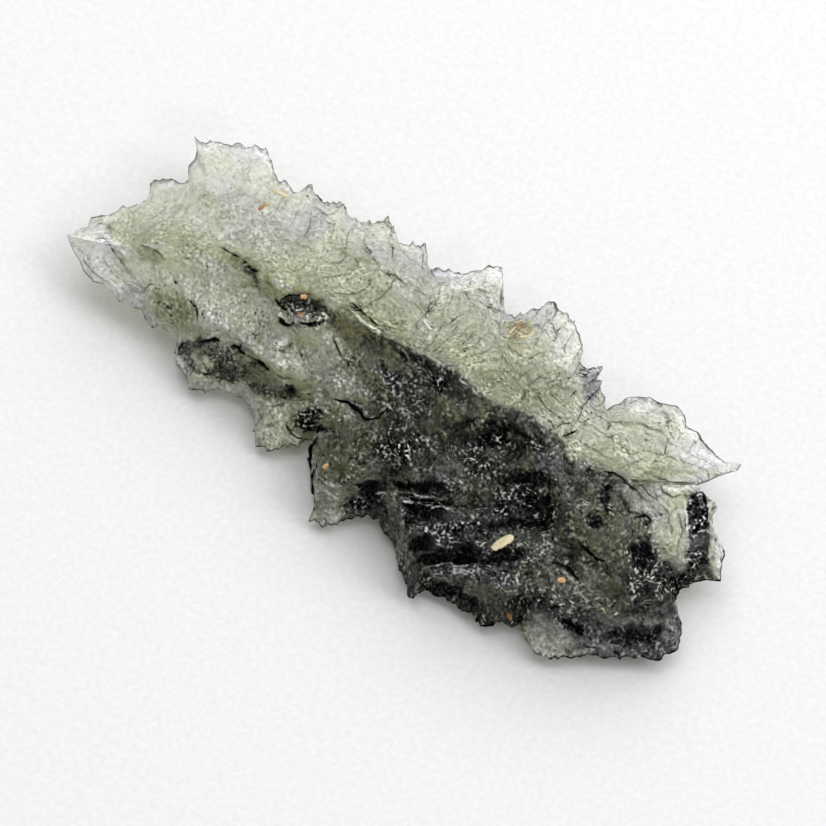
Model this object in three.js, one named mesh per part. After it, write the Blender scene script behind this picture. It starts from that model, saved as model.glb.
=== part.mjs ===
// A moldavite: one natural piece of green impact glass, etched by the soil into a thin, lobed leaf.
// Its form is a sharp crest with a thick, blocky near side that steps down to the ground, and a
// thin wing on the far side that fans out into torn, overlapping lobes. Both sides sweep back from
// the crest like the barbs of a feather, and scalloped pits with sharp rims cover the surface.
// Units are millimetres, +Z is up, +X runs along the piece, and the origin is under its middle.

import * as THREE from "three";

const DEGREE = Math.PI / 180;

// The outlines, the crest and the marks are drawn obliquely, along a line of sight this far above
// the horizon. What is drawn at a height z lies z * LEAN nearer to the front than it is drawn.
const SIGHT = 61 * DEGREE;
const LEAN = 1 / Math.tan(SIGHT);

// The drawing is turned by LIE to bring the long way of the piece onto +X.
const LIE = 31 * DEGREE;

// Sections across the piece, from the thin tip to the blunt end. crest is where the crest is drawn.
// near holds heights above the ground at the NEAR_STOPS, from the crest to the near rim, under
// the heights of the underside there, and far the top's heights at the FAR_STOPS after the crest.
// wing is the thickness of the far side.
const NEAR_STOPS = [0, 0.35, 0.68, 0.9, 1];
const FAR_STOPS = [0, 0.12, 0.45, 0.8, 1];
const SECTIONS = [
  { crest: [-11.73, 6.64], near: [1.7, 1.7, 1.7, 1.7, 1.7], under: [1.7, 1.7, 1.7, 1.7], far: [1.7, 1.7, 1.7, 1.7], wing: 0 },
  { crest: [-9.8, 6.2], near: [2.4, 2.3, 2.1, 1.8, 1.4], under: [1.6, 1.6, 1.5, 1.3], far: [2.3, 2.2, 2.1, 1.9], wing: 0.6 },
  { crest: [-7.0, 6.0], near: [3.1, 2.9, 2.6, 1.9, 0.8], under: [1.9, 1.8, 1.4, 0.5], far: [3.1, 3, 2.7, 2.3], wing: 0.85 },
  { crest: [-4.83, 4.88], near: [3.5, 3.1, 2.8, 1.9, 0.5], under: [2, 1.7, 1.2, 0.3], far: [3.4, 3.1, 2.6, 2], wing: 1 },
  { crest: [-2.63, 3.85], near: [3.9, 3.3, 2.9, 2.1, 0.5], under: [1.5, 1.1, 0.5, 0.1], far: [3.7, 3.2, 2.5, 1.9], wing: 1 },
  { crest: [-0.53, 2.52], near: [4.4, 3.6, 3, 2.4, 0.5], under: [0.1, 0, 0, 0.1], far: [4, 3.4, 2.5, 1.8], wing: 1 },
  { crest: [1.05, 1.52], near: [4.6, 3.7, 3.1, 2.4, 0.5], under: [0, 0, 0, 0.1], far: [4.1, 3.4, 2.4, 1.7], wing: 1 },
  { crest: [2.8, 0.18], near: [4.6, 3.7, 3.1, 2.4, 0.5], under: [0, 0, 0, 0.1], far: [4.1, 3.3, 2.3, 1.5], wing: 1 },
  { crest: [4.73, -1.22], near: [4.3, 3.7, 3.2, 2.6, 0.6], under: [0.1, 0, 0, 0.1], far: [3.9, 3.1, 2.2, 1.5], wing: 0.9 },
  { crest: [6.65, -2.76], near: [3.6, 3.3, 3, 2.5, 0.9], under: [0.8, 0.3, 0.1, 0.2], far: [3.3, 2.8, 2.2, 1.6], wing: 0.8 },
  { crest: [10.29, -3.36], near: [1.8, 1.8, 1.8, 1.8, 1.8], under: [1.8, 1.8, 1.8, 1.8], far: [1.8, 1.8, 1.8, 1.8], wing: 0 },
];
const END = SECTIONS.length - 1;

// The near outline as drawn, one lobe from each section to the next. The last point of a lobe is
// the notch where the next one begins.
const NEAR_LOBES = [
  [[-11.62, 6.28], [-11.48, 5.96], [-11.27, 5.6], [-11.1, 5.12], [-10.78, 4.72], [-10.4, 4.6], [-10.08, 4.32], [-9.87, 3.96]],
  [[-9.59, 4.04], [-9.38, 3.8], [-9.1, 3.6], [-8.86, 3.04], [-8.58, 2.96], [-8.19, 2.76], [-7.95, 2.56], [-7.6, 2.32]],
  [[-7.88, 2.0], [-7.91, 1.68], [-7.84, 1.32], [-7.63, 1.24], [-7.42, 0.92], [-7.35, 0.56], [-7.25, 0.4], [-6.93, 0.36], [-6.51, 0.32], [-6.16, 0.24], [-5.5, -0.04]],
  [[-5.22, -0.36], [-5.11, -0.76], [-5.11, -1.28], [-5.01, -1.84], [-4.62, -2.0], [-4.34, -2.0], [-3.82, -1.88], [-3.01, -1.56]],
  [[-3.15, -2.0], [-3.26, -2.32], [-3.12, -2.92], [-3.05, -3.72], [-2.98, -4.24], [-3.15, -4.72], [-2.77, -5.08], [-2.49, -4.96], [-2.28, -5.04], [-1.86, -4.8], [-1.05, -4.66]],
  [[-0.74, -4.84], [-0.53, -5.24], [-0.21, -5.64], [-0.11, -6.16], [-0.04, -6.68], [0.21, -7.2], [0.25, -7.64], [0.46, -7.88], [0.77, -7.56]],
  [[1.02, -7.64], [1.54, -7.92], [2.0, -8.24]],
  [[2.49, -8.36], [2.8, -8.88], [3.33, -8.8], [3.85, -8.84], [4.13, -8.72]],
  [[4.17, -9.04], [4.48, -9.72], [4.83, -10.08], [5.18, -10.2], [5.99, -10.12], [6.55, -10.08], [7.63, -10.12], [8.54, -10.16], [8.86, -10.2], [9.24, -9.96], [9.56, -9.84], [9.63, -9.48], [9.7, -8.96], [9.56, -8.32], [9.42, -7.84]],
  [[9.63, -7.52], [9.98, -7.28], [10.4, -7.12], [10.99, -7.12], [11.09, -6.48], [11.2, -5.96], [10.99, -5.56], [10.78, -5.0], [10.78, -4.56], [10.99, -4.2], [10.61, -3.88], [10.29, -3.36]],
];

// The far outline in the same way: the torn lobes of the wing.
const FAR_LOBES = [
  [[-11.38, 6.92], [-11.03, 6.96], [-10.89, 7.36], [-10.19, 7.48], [-9.77, 7.76]],
  [[-9.21, 7.88], [-8.89, 8.2], [-8.82, 8.68], [-8.58, 8.84], [-8.16, 8.84], [-7.95, 8.72], [-7.49, 8.8]],
  [[-7.49, 9.36], [-7.32, 9.8], [-7.18, 10.12], [-7.28, 10.68], [-6.62, 10.44], [-6.13, 10.52], [-5.57, 10.32], [-4.94, 10.32], [-4.66, 9.96], [-4.48, 9.6], [-4.45, 9.08], [-4.2, 8.72], [-3.85, 8.48]],
  [[-3.57, 8.56], [-3.15, 8.76], [-3.01, 8.4], [-2.7, 8.12], [-2.49, 7.88], [-1.96, 7.96], [-1.86, 7.68]],
  [[-1.54, 7.48], [-1.23, 7.2], [-0.84, 7.24], [-0.53, 7.36], [-0.32, 7.2], [-0.14, 6.76], [-0.07, 6.44]],
  [[0.25, 6.32], [0.67, 6.36], [0.91, 6.16], [0.98, 5.8], [0.95, 5.4]],
  [[1.26, 5.44], [1.82, 5.36], [2.14, 5.16], [2.56, 5.16], [2.87, 5.36], [3.22, 5.52], [3.61, 5.36], [3.64, 4.72], [3.61, 4.16], [3.64, 3.56]],
  [[3.92, 3.44], [4.62, 3.68], [4.94, 3.8], [5.11, 4.0], [5.39, 4.08], [5.53, 3.76], [5.85, 3.56], [6.06, 3.16], [6.16, 2.68], [6.41, 2.2], [6.41, 1.92], [6.27, 1.36]],
  [[6.62, 1.32], [7.04, 1.48], [7.07, 1.28], [6.86, 1.04], [6.76, 0.88], [7.07, 0.84], [6.93, 0.56], [7.0, 0.28], [7.14, 0.08], [7.07, -0.36]],
  [[7.56, -0.12], [7.88, 0.12], [8.33, 0.2], [8.75, 0.12], [9.17, -0.12], [9.66, -0.28], [9.87, -0.6], [9.94, -1.0], [10.33, -1.28], [10.54, -1.72], [11.03, -2.24], [11.27, -2.48], [11.83, -2.52], [11.69, -2.8], [11.41, -2.88], [10.99, -3.04], [10.61, -3.24], [10.29, -3.36]],
];

// Ledges on the top, as drawn: the ground to the left of the path stands higher by rise, and the
// step dies out over reach to both sides.
const LEDGES = [
  { path: [[-6.48, 6.56], [-5.43, 5.4], [-4.73, 4.8], [-4.13, 4.28], [-3.5, 4]], rise: 0.5, reach: 1.5 },
  { path: [[-9.03, 4.24], [-8.58, 4.76], [-7.88, 4.4], [-7.28, 3.88], [-7, 3.12]], rise: 0.5, reach: 0.8 },
  { path: [[-7.91, 2.12], [-7.53, 2.72], [-7, 3.16], [-6.13, 2.88], [-5.25, 1.76], [-4.48, 1.24], [-3.5, 0.88], [-2.45, 0.32], [-1.68, 0.08]], rise: 0.8, reach: 0.9 },
  { path: [[-1.75, 3.24], [-0.53, 2.26], [0.53, 1.64], [1.93, 0.62], [2.8, -0.1], [4.03, -1.08], [5.6, -2.2], [7, -3.28]], rise: 0.7, reach: 0.9 },
  { path: [[3.5, 4.4], [2.1, 4.72], [1.82, 5.32], [1.12, 5.52]], rise: 0.25, reach: 0.6 },
  { path: [[1.93, -0.56], [2.87, -0.84], [3.68, -1.36], [4.2, -1.84], [4.73, -2.6]], rise: 0.5, reach: 0.8 },
  { path: [[3.5, -3.2], [4.27, -2.8], [4.9, -2.96], [5.32, -3.44], [5.46, -4.4], [5.32, -5.6]], rise: 0.7, reach: 0.7 },
  { path: [[7.28, -5.8], [8.05, -5.28], [8.93, -5.4], [9.38, -6.08], [9.59, -7.28]], rise: 0.6, reach: 0.6 },
  { path: [[4.2, -8.48], [5.08, -8.24], [5.6, -8.48], [6.3, -8.24], [7.35, -8.44], [8.05, -8.12], [8.58, -7.84], [9.45, -7.84]], rise: 0.9, reach: 0.6 },
];
const LEDGE_SHARPNESS = 0.15;

// Grooves and spines on the top, as drawn: sharp along the path, and gone at width from it.
const CREASES = [
  { path: [[-3.05, -1.6], [-2.73, -0.48], [-2.1, -0.08], [-1.4, -0.2], [-0.88, -0.8], [-0.7, -1.8]], rise: -0.7, width: 0.5 },
  { path: [[-1.33, -3.12], [-0.18, -3.6], [0.53, -3.8], [1.82, -4], [3.68, -3.88]], rise: -0.6, width: 0.5 },
  { path: [[-0.98, -4], [0, -4.48], [1.4, -4.88]], rise: -0.4, width: 0.45 },
  { path: [[0.18, -7.6], [1.05, -6.64], [2.45, -6.4], [3.68, -7]], rise: -0.5, width: 0.5 },
  { path: [[5.08, -1], [5.67, -1.44], [6.37, -0.8]], rise: -0.4, width: 0.4 },
  { path: [[3.85, -8.88], [4.2, -8], [5.08, -7.4]], rise: -0.6, width: 0.5 },
  { path: [[-2.87, 6.72], [-1.68, 5.72], [-0.88, 5.2], [0.53, 4.64], [1.3, 4.8]], rise: 0.25, width: 0.5 },
  { path: [[-3.08, 8.8], [-2.73, 7.4], [-3.22, 6.2], [-3.78, 5.52]], rise: 0.35, width: 0.6 },
  { path: [[8.4, -2.72], [9.28, -3.2], [10.4, -3.36]], rise: 0.3, width: 0.5 },
  { path: [[1.58, 4], [2.8, 2.2], [4.2, 1.12], [5.6, 1.36]], rise: 0.25, width: 0.6 },
];

// Single hollows and mounds on the top, as drawn. Hollows have sharp rims.
const HOLLOWS = [
  { at: [-3.26, 3.92], radius: 0.65, rise: -0.8 },
  { at: [-1.68, 2.48], radius: 1.1, rise: -0.4 },
  { at: [6.48, -5.12], radius: 1.4, rise: 0.45 },
  { at: [6.69, -4.88], radius: 0.38, rise: -0.5 },
  { at: [4.48, -4.4], radius: 0.8, rise: -0.35 },
  { at: [8.4, -6.4], radius: 0.9, rise: -0.4 },
  { at: [2.45, -1.6], radius: 0.8, rise: -0.4 },
  { at: [0.7, 0.08], radius: 0.9, rise: -0.35 },
  { at: [1.93, -6.4], radius: 1, rise: -0.4 },
  { at: [0, -5.2], radius: 0.7, rise: -0.35 },
  { at: [10.43, -5.6], radius: 0.6, rise: -0.35 },
  { at: [-4.03, 2.32], radius: 0.4, rise: -0.25 },
  { at: [-1.93, -1.6], radius: 0.8, rise: 0.3 },
  { at: [-5.78, 1], radius: 0.7, rise: 0.3 },
  { at: [-4.03, -1], radius: 1.3, rise: -1 },
  { at: [-2.8, -4.3], radius: 0.9, rise: -0.8 },
  { at: [4.9, -9.3], radius: 0.9, rise: -0.6 },
  { at: [9.1, -4.3], radius: 1.8, rise: -1.1 },
];

const SWEEP = 0.9; // how many sections further on a barb ends than it springs from the crest
const SWEEP_END = 2; // the sweep fades out over this many sections at both ends
const OUTLINE_BLUR = 0.4; // near the crest, the barbs aim at an outline averaged this far to each side
const OVERLAP = 0.4; // each far lobe rises by this towards the notch where it overlaps the next
const NEAR_SWELL = 0.25; // each near lobe swells by this between its notches

const NEAR_ROWS = 13; // faces from the crest to the near rim
const FAR_ROWS = 9; // faces from the crest to the far rim
const UNDER_ROWS = 7; // faces from below the crest to each rim
const RING_STEP = 0.42; // the width of the faces along the rims
const UNEVENNESS = 0.7; // how unevenly the rows are set, as a share of a face

// Pits: each layer is a pattern of round dishes that meet in sharp rims.
const PIT_LAYERS = [
  { size: 2.2, depth: 0.8, seed: 11 },
  { size: 1.1, depth: 0.4, seed: 23 },
];
const PIT_STRETCH = 1.3; // pits are longer than wide by this, along the crest
const PIT_LEVEL = 0.6; // the share of a dish's depth that lies below the unpitted surface
const FULL_DEPTH_AT = 1.6; // glass thinner than this has shallower pits
const DEEPEST_CUT = 0.5; // no cut goes deeper than this share of the glass
const FLUTE_WIDTH = 1.25;
const FLUTE_DEPTH = 0.2;
const GROUND_WEAR = 0.12; // the lowest lumps of the belly are worn flat by this much

const clamp = (x, low, high) => Math.min(Math.max(x, low), high);
const mix = (a, b, t) => a + (b - a) * t;
const mixPoint = (a, b, t) => [mix(a[0], b[0], t), mix(a[1], b[1], t)];
const distance = (a, b) => Math.hypot(a[0] - b[0], a[1] - b[1]);

// A smooth curve through equally spaced values, read at place x counted in values.
function smooth(values, x) {
  const i = clamp(Math.floor(x), 0, values.length - 2);
  const t = clamp(x - i, 0, 1);
  const at = (k) => values[clamp(k, 0, values.length - 1)];
  const [a, b, c, d] = [at(i - 1), at(i), at(i + 1), at(i + 2)];
  return 0.5 * (2 * b + (c - a) * t + (2 * a - 5 * b + 4 * c - d) * t * t + (3 * b - a - 3 * c + d) * t ** 3);
}

// The same for values that belong to unequal stops.
function smoothAt(stops, values, t) {
  let i = 1;
  while (i < stops.length - 1 && stops[i] < t) i += 1;
  return smooth(values, i - 1 + (t - stops[i - 1]) / (stops[i] - stops[i - 1]));
}

const sectionHeights = (key, place) => SECTIONS[0][key].map((_, k) => smooth(SECTIONS.map((s) => s[key][k]), place));
const onGround = ([x, y], height) => [x, y - height * LEAN];

// A lobe's outline with the notch it starts from, as points and the share of the way to each.
function pathOf(lobes, index) {
  const points = [index ? lobes[index - 1].at(-1) : SECTIONS[0].crest, ...lobes[index]];
  const lengths = points.map((p, i) => (i ? distance(p, points[i - 1]) : 0));
  const total = lengths.reduce((a, b) => a + b);
  let run = 0;
  const shares = lengths.map((l) => (run += l) / total);
  return { points, shares, total };
}
const NEAR_PATHS = NEAR_LOBES.map((_, i) => pathOf(NEAR_LOBES, i));
const FAR_PATHS = FAR_LOBES.map((_, i) => pathOf(FAR_LOBES, i));

// The outline's point at a place along the piece.
function outlineAt(paths, place) {
  const bay = clamp(Math.ceil(place) - 1, 0, paths.length - 1);
  const share = clamp(place - bay, 0, 1);
  const { points, shares } = paths[bay];
  let i = 1;
  while (i < shares.length - 1 && shares[i] < share) i += 1;
  return mixPoint(points[i - 1], points[i], (share - shares[i - 1]) / (shares[i] - shares[i - 1]));
}

// The mean of the outline to both sides of a place.
function blurredOutline(paths, place) {
  const reach = Math.min(OUTLINE_BLUR, place, END - place);
  const around = [-1, -0.5, 0, 0.5, 1].map((k) => outlineAt(paths, place + k * reach));
  return [0, 1].map((k) => around.reduce((sum, p) => sum + p[k], 0) / around.length);
}

// The shares of a lobe's outline that its rings meet: evenly spread, but never cutting a corner.
function spread({ shares }, count) {
  const met = [0];
  const corners = shares.slice(1);
  corners.forEach((corner, i) => {
    const last = met.length - 1;
    const ring = clamp(Math.round(corner * count), last + 1, count - (corners.length - 1 - i));
    for (let k = last + 1; k <= ring; k += 1) met.push(mix(met[last], corner, (k - last) / (ring - last)));
  });
  return met;
}

// Every ring around the piece: its place, and the places where it meets the two outlines.
function ringPlaces() {
  const rings = [];
  for (let bay = 0; bay < END; bay += 1) {
    const [near, far] = [NEAR_PATHS[bay], FAR_PATHS[bay]];
    const count = Math.max(Math.ceil(Math.max(near.total, far.total) / RING_STEP), near.shares.length, far.shares.length);
    const [nearShares, farShares] = [spread(near, count), spread(far, count)];
    for (let k = 1; k <= count; k += 1)
      rings.push({ place: bay + k / count, near: bay + nearShares[k], far: bay + farShares[k] });
  }
  return rings.slice(0, -1);
}

// A number from 0 to 1 that looks random, from whole numbers.
function scatter(i, j, k, seed) {
  let h = Math.imul(i, 374761393) + Math.imul(j, 668265263) + Math.imul(k, 1440662683) + Math.imul(seed, 1274126177);
  h = Math.imul(h ^ (h >>> 13), 1274126177);
  h = Math.imul(h ^ (h >>> 15), 668265263);
  return ((h ^ (h >>> 16)) >>> 0) / 4294967296;
}

// The square of the distance from a point to the nearest pit centre, where centres are spread
// one to each unit cell.
function pitDistance(p, seed) {
  const cell = p.map(Math.floor);
  let nearest = Infinity;
  for (let i = cell[0] - 1; i <= cell[0] + 1; i += 1)
    for (let j = cell[1] - 1; j <= cell[1] + 1; j += 1)
      for (let k = cell[2] - 1; k <= cell[2] + 1; k += 1) {
        const dx = i + scatter(i, j, k, seed) - p[0];
        const dy = j + scatter(i, j, k, seed + 1) - p[1];
        const dz = k + scatter(i, j, k, seed + 2) - p[2];
        nearest = Math.min(nearest, dx * dx + dy * dy + dz * dz);
      }
  return nearest;
}

// How far the pits make the surface stand out at a point: rims stand up and dishes sink.
function pitRelief(x, y, z) {
  const along = (x * Math.cos(LIE) - y * Math.sin(LIE)) / PIT_STRETCH;
  const across = x * Math.sin(LIE) + y * Math.cos(LIE);
  const layer = ({ size, depth, seed }) =>
    depth * (Math.min(1.5 * pitDistance([along / size, across / size, z / size], seed), 1) - PIT_LEVEL);
  return PIT_LAYERS.reduce((sum, pits) => sum + layer(pits), 0);
}

// Flutes run out to the far rim: round troughs with sharp edges between them, along a length.
function fluteRelief(length) {
  const place = length / FLUTE_WIDTH;
  const cell = Math.floor(place);
  const reach = [-1, 0, 1].map((k) => Math.abs(cell + k + scatter(cell + k, 0, 0, 31) - place));
  return FLUTE_DEPTH * (Math.min(4 * Math.min(...reach) ** 2, 1) - 0.4);
}

// The nearest spot of a path to a point: how far off it is, on which side (1 is left), and how
// much is left of the mark there, which fades out towards the path's ends.
function nearPath(path, [x, y]) {
  let best = { off: Infinity };
  for (let i = 0; i + 1 < path.length; i += 1) {
    const [ax, ay] = path[i];
    const [bx, by] = [path[i + 1][0] - ax, path[i + 1][1] - ay];
    const t = clamp(((x - ax) * bx + (y - ay) * by) / (bx * bx + by * by), 0, 1);
    const [dx, dy] = [x - ax - t * bx, y - ay - t * by];
    const off = Math.hypot(dx, dy);
    const middle = (2 * (i + t)) / (path.length - 1) - 1;
    if (off < best.off) best = { off, side: Math.sign(bx * dy - by * dx), left: 1 - middle ** 4 };
  }
  return best;
}

// How far the ledges, creases and hollows raise the top at a drawn point.
function markRelief(drawn) {
  let relief = 0;
  for (const { path, rise, reach } of LEDGES) {
    const { off, side, left } = nearPath(path, drawn);
    relief += 0.5 * rise * left * side * Math.tanh(off / LEDGE_SHARPNESS) * Math.exp(-off / reach);
  }
  for (const { path, rise, width } of CREASES) {
    const { off, left } = nearPath(path, drawn);
    relief += rise * left * Math.max(1 - off / width, 0) ** 1.5;
  }
  for (const { at, radius, rise } of HOLLOWS)
    relief += rise * Math.max(1 - (distance(at, drawn) / radius) ** 2, 0);
  return relief;
}

// One ring of points around the piece: over the top from the near rim to the far rim, and back
// underneath. Each point knows the thickness of the glass there and the relief it gets by itself.
function ringAt({ place, near: nearPlace, far: farPlace }, farLength) {
  const near = { heights: sectionHeights("near", place), under: sectionHeights("under", place) };
  const far = { heights: sectionHeights("far", place), wing: smooth(SECTIONS.map((s) => s.wing), place) };
  near.rim = near.heights.at(-1);
  far.rim = far.heights.at(-1);
  const share = place - Math.ceil(place) + 1;
  const swell = NEAR_SWELL * (Math.sin(Math.PI * share) ** 0.6 - 0.6);
  const overlap = OVERLAP * (share ** 1.5 - 0.4);
  const ends = clamp(Math.min(place, END - place) / SWEEP_END, 0, 1);
  const flute = fluteRelief(farLength);

  // A barb's point at t, from the crest to a rim.
  const barb = (paths, meets, rim, t) => {
    const springs = place - SWEEP * ends * (1 - t) ** 2;
    const crest = onGround([0, 1].map((k) => smooth(SECTIONS.map((s) => s.crest[k]), springs)), near.heights[0]);
    const aim = mixPoint(blurredOutline(paths, place), outlineAt(paths, meets), t * t);
    return mixPoint(crest, onGround(aim, rim), t);
  };
  const nearSide = (t) => {
    const stand = ends * swell * Math.sin(Math.PI * t);
    return {
      at: barb(NEAR_PATHS, nearPlace, near.rim, t),
      top: smoothAt(NEAR_STOPS, near.heights, t) + stand,
      bottom: Math.max(smoothAt(NEAR_STOPS, [...near.under, near.rim], t), 0) - GROUND_WEAR * (1 - t),
      flute: 0,
    };
  };
  const farSide = (t) => {
    const top = smoothAt(FAR_STOPS, [near.heights[0], ...far.heights], t) + ends * overlap * t;
    const wing = far.wing * smoothAt(FAR_STOPS, [1, 1, 0.95, 0.65, 0], t);
    const keel = clamp(1 - t / FAR_STOPS[1], 0, 1);
    return {
      at: barb(FAR_PATHS, farPlace, far.rim, t),
      top,
      bottom: mix(top - wing, near.under[0] - GROUND_WEAR, keel),
      flute: flute * t,
    };
  };

  // The rows of points along a barb, more of them where the stops are close. They are set
  // unevenly, so that the faces make no lattice.
  const rows = (stops, count, seed) =>
    Array.from({ length: count + 1 }, (_, i) => {
      const shift = i % count ? UNEVENNESS * (scatter(i, Math.round(place * 1000), 0, seed) - 0.5) : 0;
      const stop = ((i + shift) / count) * (stops.length - 1);
      const k = Math.min(Math.floor(stop), stops.length - 2);
      return mix(stops[k], stops[k + 1], stop - k);
    });
  const over = [
    ...rows(NEAR_STOPS, NEAR_ROWS, 41).reverse().map(nearSide),
    ...rows(FAR_STOPS, FAR_ROWS, 42).slice(1).map(farSide),
  ];
  const under = [
    ...rows(FAR_STOPS, UNDER_ROWS, 43).slice(1, -1).reverse().map(farSide),
    ...rows(NEAR_STOPS, UNDER_ROWS, 44).slice(0, -1).map(nearSide),
  ];
  const point = (s, z, isTop) => ({ at: new THREE.Vector3(...s.at, z), thick: s.top - s.bottom, flute: s.flute, isTop });
  return [...over.map((s) => point(s, s.top, true)), ...under.map((s) => point(s, s.bottom, false))];
}

// The outward direction at each point of the rings, from its four neighbours.
function outward(rings, i, j) {
  const count = rings[0].length;
  const around = rings[i][(j + 1) % count].at.clone().sub(rings[i][(j + count - 1) % count].at);
  const before = rings[Math.max(i - 1, 0)][j].at;
  const after = rings[Math.min(i + 1, rings.length - 1)][j].at;
  return after.clone().sub(before).cross(around).normalize();
}

// The relief at a ring's point, limited by the thickness of the glass.
function reliefAt({ at, thick, flute, isTop }) {
  const deep = clamp(thick / FULL_DEPTH_AT, 0, 1);
  const own = (pitRelief(at.x, at.y, at.z) + flute) * deep;
  const marks = isTop ? markRelief([at.x, at.y + at.z * LEAN]) * deep : 0;
  return clamp(own + marks, -DEEPEST_CUT * thick * (isTop ? 1 : 0.6), DEEPEST_CUT * thick);
}

function moldaviteGeometry() {
  let farLength = 0;
  let last = null;
  const rings = ringPlaces().map((places) => {
    const rim = outlineAt(FAR_PATHS, places.far);
    farLength += last ? distance(rim, last) : 0;
    last = rim;
    return ringAt(places, farLength);
  });
  const carved = rings.map((ring, i) =>
    ring.map((p, j) => {
      const moved = p.at.clone().addScaledVector(outward(rings, i, j), reliefAt(p));
      return moved.setZ(Math.max(moved.z, 0));
    }),
  );

  const tipOf = (section) => new THREE.Vector3(...onGround(section.crest, section.near[0]), section.near[0]);
  const points = [tipOf(SECTIONS[0]), ...carved.flat(), tipOf(SECTIONS[END])];
  const count = carved[0].length;
  const at = (ring, j) => 1 + ring * count + (j % count);
  const faces = [];
  for (let j = 0; j < count; j += 1) {
    faces.push(0, at(0, j), at(0, j + 1));
    for (let i = 0; i + 1 < carved.length; i += 1)
      faces.push(at(i, j), at(i + 1, j), at(i, j + 1), at(i + 1, j), at(i + 1, j + 1), at(i, j + 1));
    faces.push(at(carved.length - 1, j + 1), at(carved.length - 1, j), points.length - 1);
  }

  const geometry = new THREE.BufferGeometry().setFromPoints(points).setIndex(faces);
  geometry.rotateZ(LIE);
  geometry.computeBoundingBox();
  const { min, max } = geometry.boundingBox;
  geometry.translate(-(min.x + max.x) / 2, -(min.y + max.y) / 2, -min.z);
  geometry.computeVertexNormals();
  return geometry;
}

const glass = new THREE.MeshStandardMaterial({ color: 0x6f7a5c, roughness: 0.2, metalness: 0 });
const moldavite = new THREE.Mesh(moldaviteGeometry(), glass);
moldavite.name = "moldavite";

const part = new THREE.Group();
part.add(moldavite);

export default part;
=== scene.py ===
"""A moldavite in Blender: one natural piece of etched green impact glass, with sand in its pits.

The stone is a closed skin of rings. Every ring runs from the near rim over the crest to the far
rim and back below, and its points lie on barbs that sweep from the crest to the outlines. The
skin is then carved with pits, ledges, grooves and flutes. Lengths in the tables are millimetres,
drawn obliquely along the line of sight; the finished mesh is in metres in the CAD frame.
"""

from __future__ import annotations

import logging
import math
from dataclasses import dataclass, field
from enum import Enum, IntEnum

import bpy
import numpy as np
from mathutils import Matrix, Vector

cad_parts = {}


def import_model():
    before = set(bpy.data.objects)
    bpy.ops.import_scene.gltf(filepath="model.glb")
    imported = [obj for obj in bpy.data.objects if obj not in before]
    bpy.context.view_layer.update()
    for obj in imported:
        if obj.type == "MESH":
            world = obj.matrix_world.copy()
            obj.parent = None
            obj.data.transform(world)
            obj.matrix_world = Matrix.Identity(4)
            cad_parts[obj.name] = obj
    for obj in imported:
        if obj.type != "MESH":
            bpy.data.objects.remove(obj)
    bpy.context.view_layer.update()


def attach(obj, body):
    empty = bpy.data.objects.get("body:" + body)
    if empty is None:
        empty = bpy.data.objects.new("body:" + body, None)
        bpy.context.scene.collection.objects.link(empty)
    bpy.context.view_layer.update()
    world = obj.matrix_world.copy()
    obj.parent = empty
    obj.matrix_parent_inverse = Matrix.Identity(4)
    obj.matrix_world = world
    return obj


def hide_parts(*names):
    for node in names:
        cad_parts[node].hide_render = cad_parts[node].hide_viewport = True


LOG = logging.getLogger("moldavite")
Array = np.ndarray
Colour = tuple[float, float, float, float]

NODE = "moldavite"
MM = 0.001

# Numbers too small to matter, that keep divisions from failing.
TINY = 1e-9
TINY_SHARE = 0.001

# Large odd numbers that stir the digits of whole numbers: for i, j, k and the seed.
STIR = (374761393, 668265263, 1440662683, 1274126177)

# The oblique drawing: its line of sight is SIGHT above the horizon, and what is drawn at a height
# z lies z * LEAN nearer to the front than it is drawn. LIE turns the drawing into the frame.
SIGHT = math.radians(61.0)
LEAN = 1.0 / math.tan(SIGHT)
LIE = math.radians(31.0)

# What the stone's points carry for its material, as Stone names it.
MASKS = ("calm", "gloom", "pitted", "milk", "hue", "strands", "reach", "run", "line", "drawn")

NEAR_STOPS = np.array([0, 0.35, 0.68, 0.9, 1])
FAR_STOPS = np.array([0, 0.12, 0.45, 0.8, 1])
WING_SHARES = np.array([1, 1, 0.95, 0.65, 0])

# One row for each section: where the crest is drawn, the top's heights from the crest to the near
# rim, the underside's heights there, the top's heights after the crest on the far side, and the
# thickness of the far wing.
CREST = np.array([
    [-11.73, 6.64], [-9.8, 6.2], [-7.0, 6.0], [-4.83, 4.88], [-2.63, 3.85], [-0.53, 2.52],
    [1.05, 1.52], [2.8, 0.18], [4.73, -1.22], [6.65, -2.76], [10.29, -3.36],
])
NEAR_HEIGHTS = np.array([
    [1.7, 1.7, 1.7, 1.7, 1.7],
    [2.4, 2.3, 2.1, 1.8, 1.4],
    [3.1, 2.9, 2.6, 1.9, 0.8],
    [3.5, 3.1, 2.8, 1.9, 0.5],
    [3.9, 3.3, 2.9, 2.1, 0.5],
    [4.4, 3.6, 3.0, 2.4, 0.5],
    [4.6, 3.7, 3.1, 2.4, 0.5],
    [4.6, 3.7, 3.1, 2.4, 0.5],
    [4.3, 3.7, 3.2, 2.6, 0.6],
    [3.6, 3.3, 3.0, 2.5, 0.9],
    [1.8, 1.8, 1.8, 1.8, 1.8],
])
UNDER_HEIGHTS = np.array([
    [1.7, 1.7, 1.7, 1.7],
    [1.6, 1.6, 1.5, 1.3],
    [1.9, 1.8, 1.4, 0.5],
    [2.0, 1.7, 1.2, 0.3],
    [1.5, 1.1, 0.5, 0.1],
    [0.1, 0.0, 0.0, 0.1],
    [0.0, 0.0, 0.0, 0.1],
    [0.0, 0.0, 0.0, 0.1],
    [0.1, 0.0, 0.0, 0.1],
    [0.8, 0.3, 0.1, 0.2],
    [1.8, 1.8, 1.8, 1.8],
])
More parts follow.
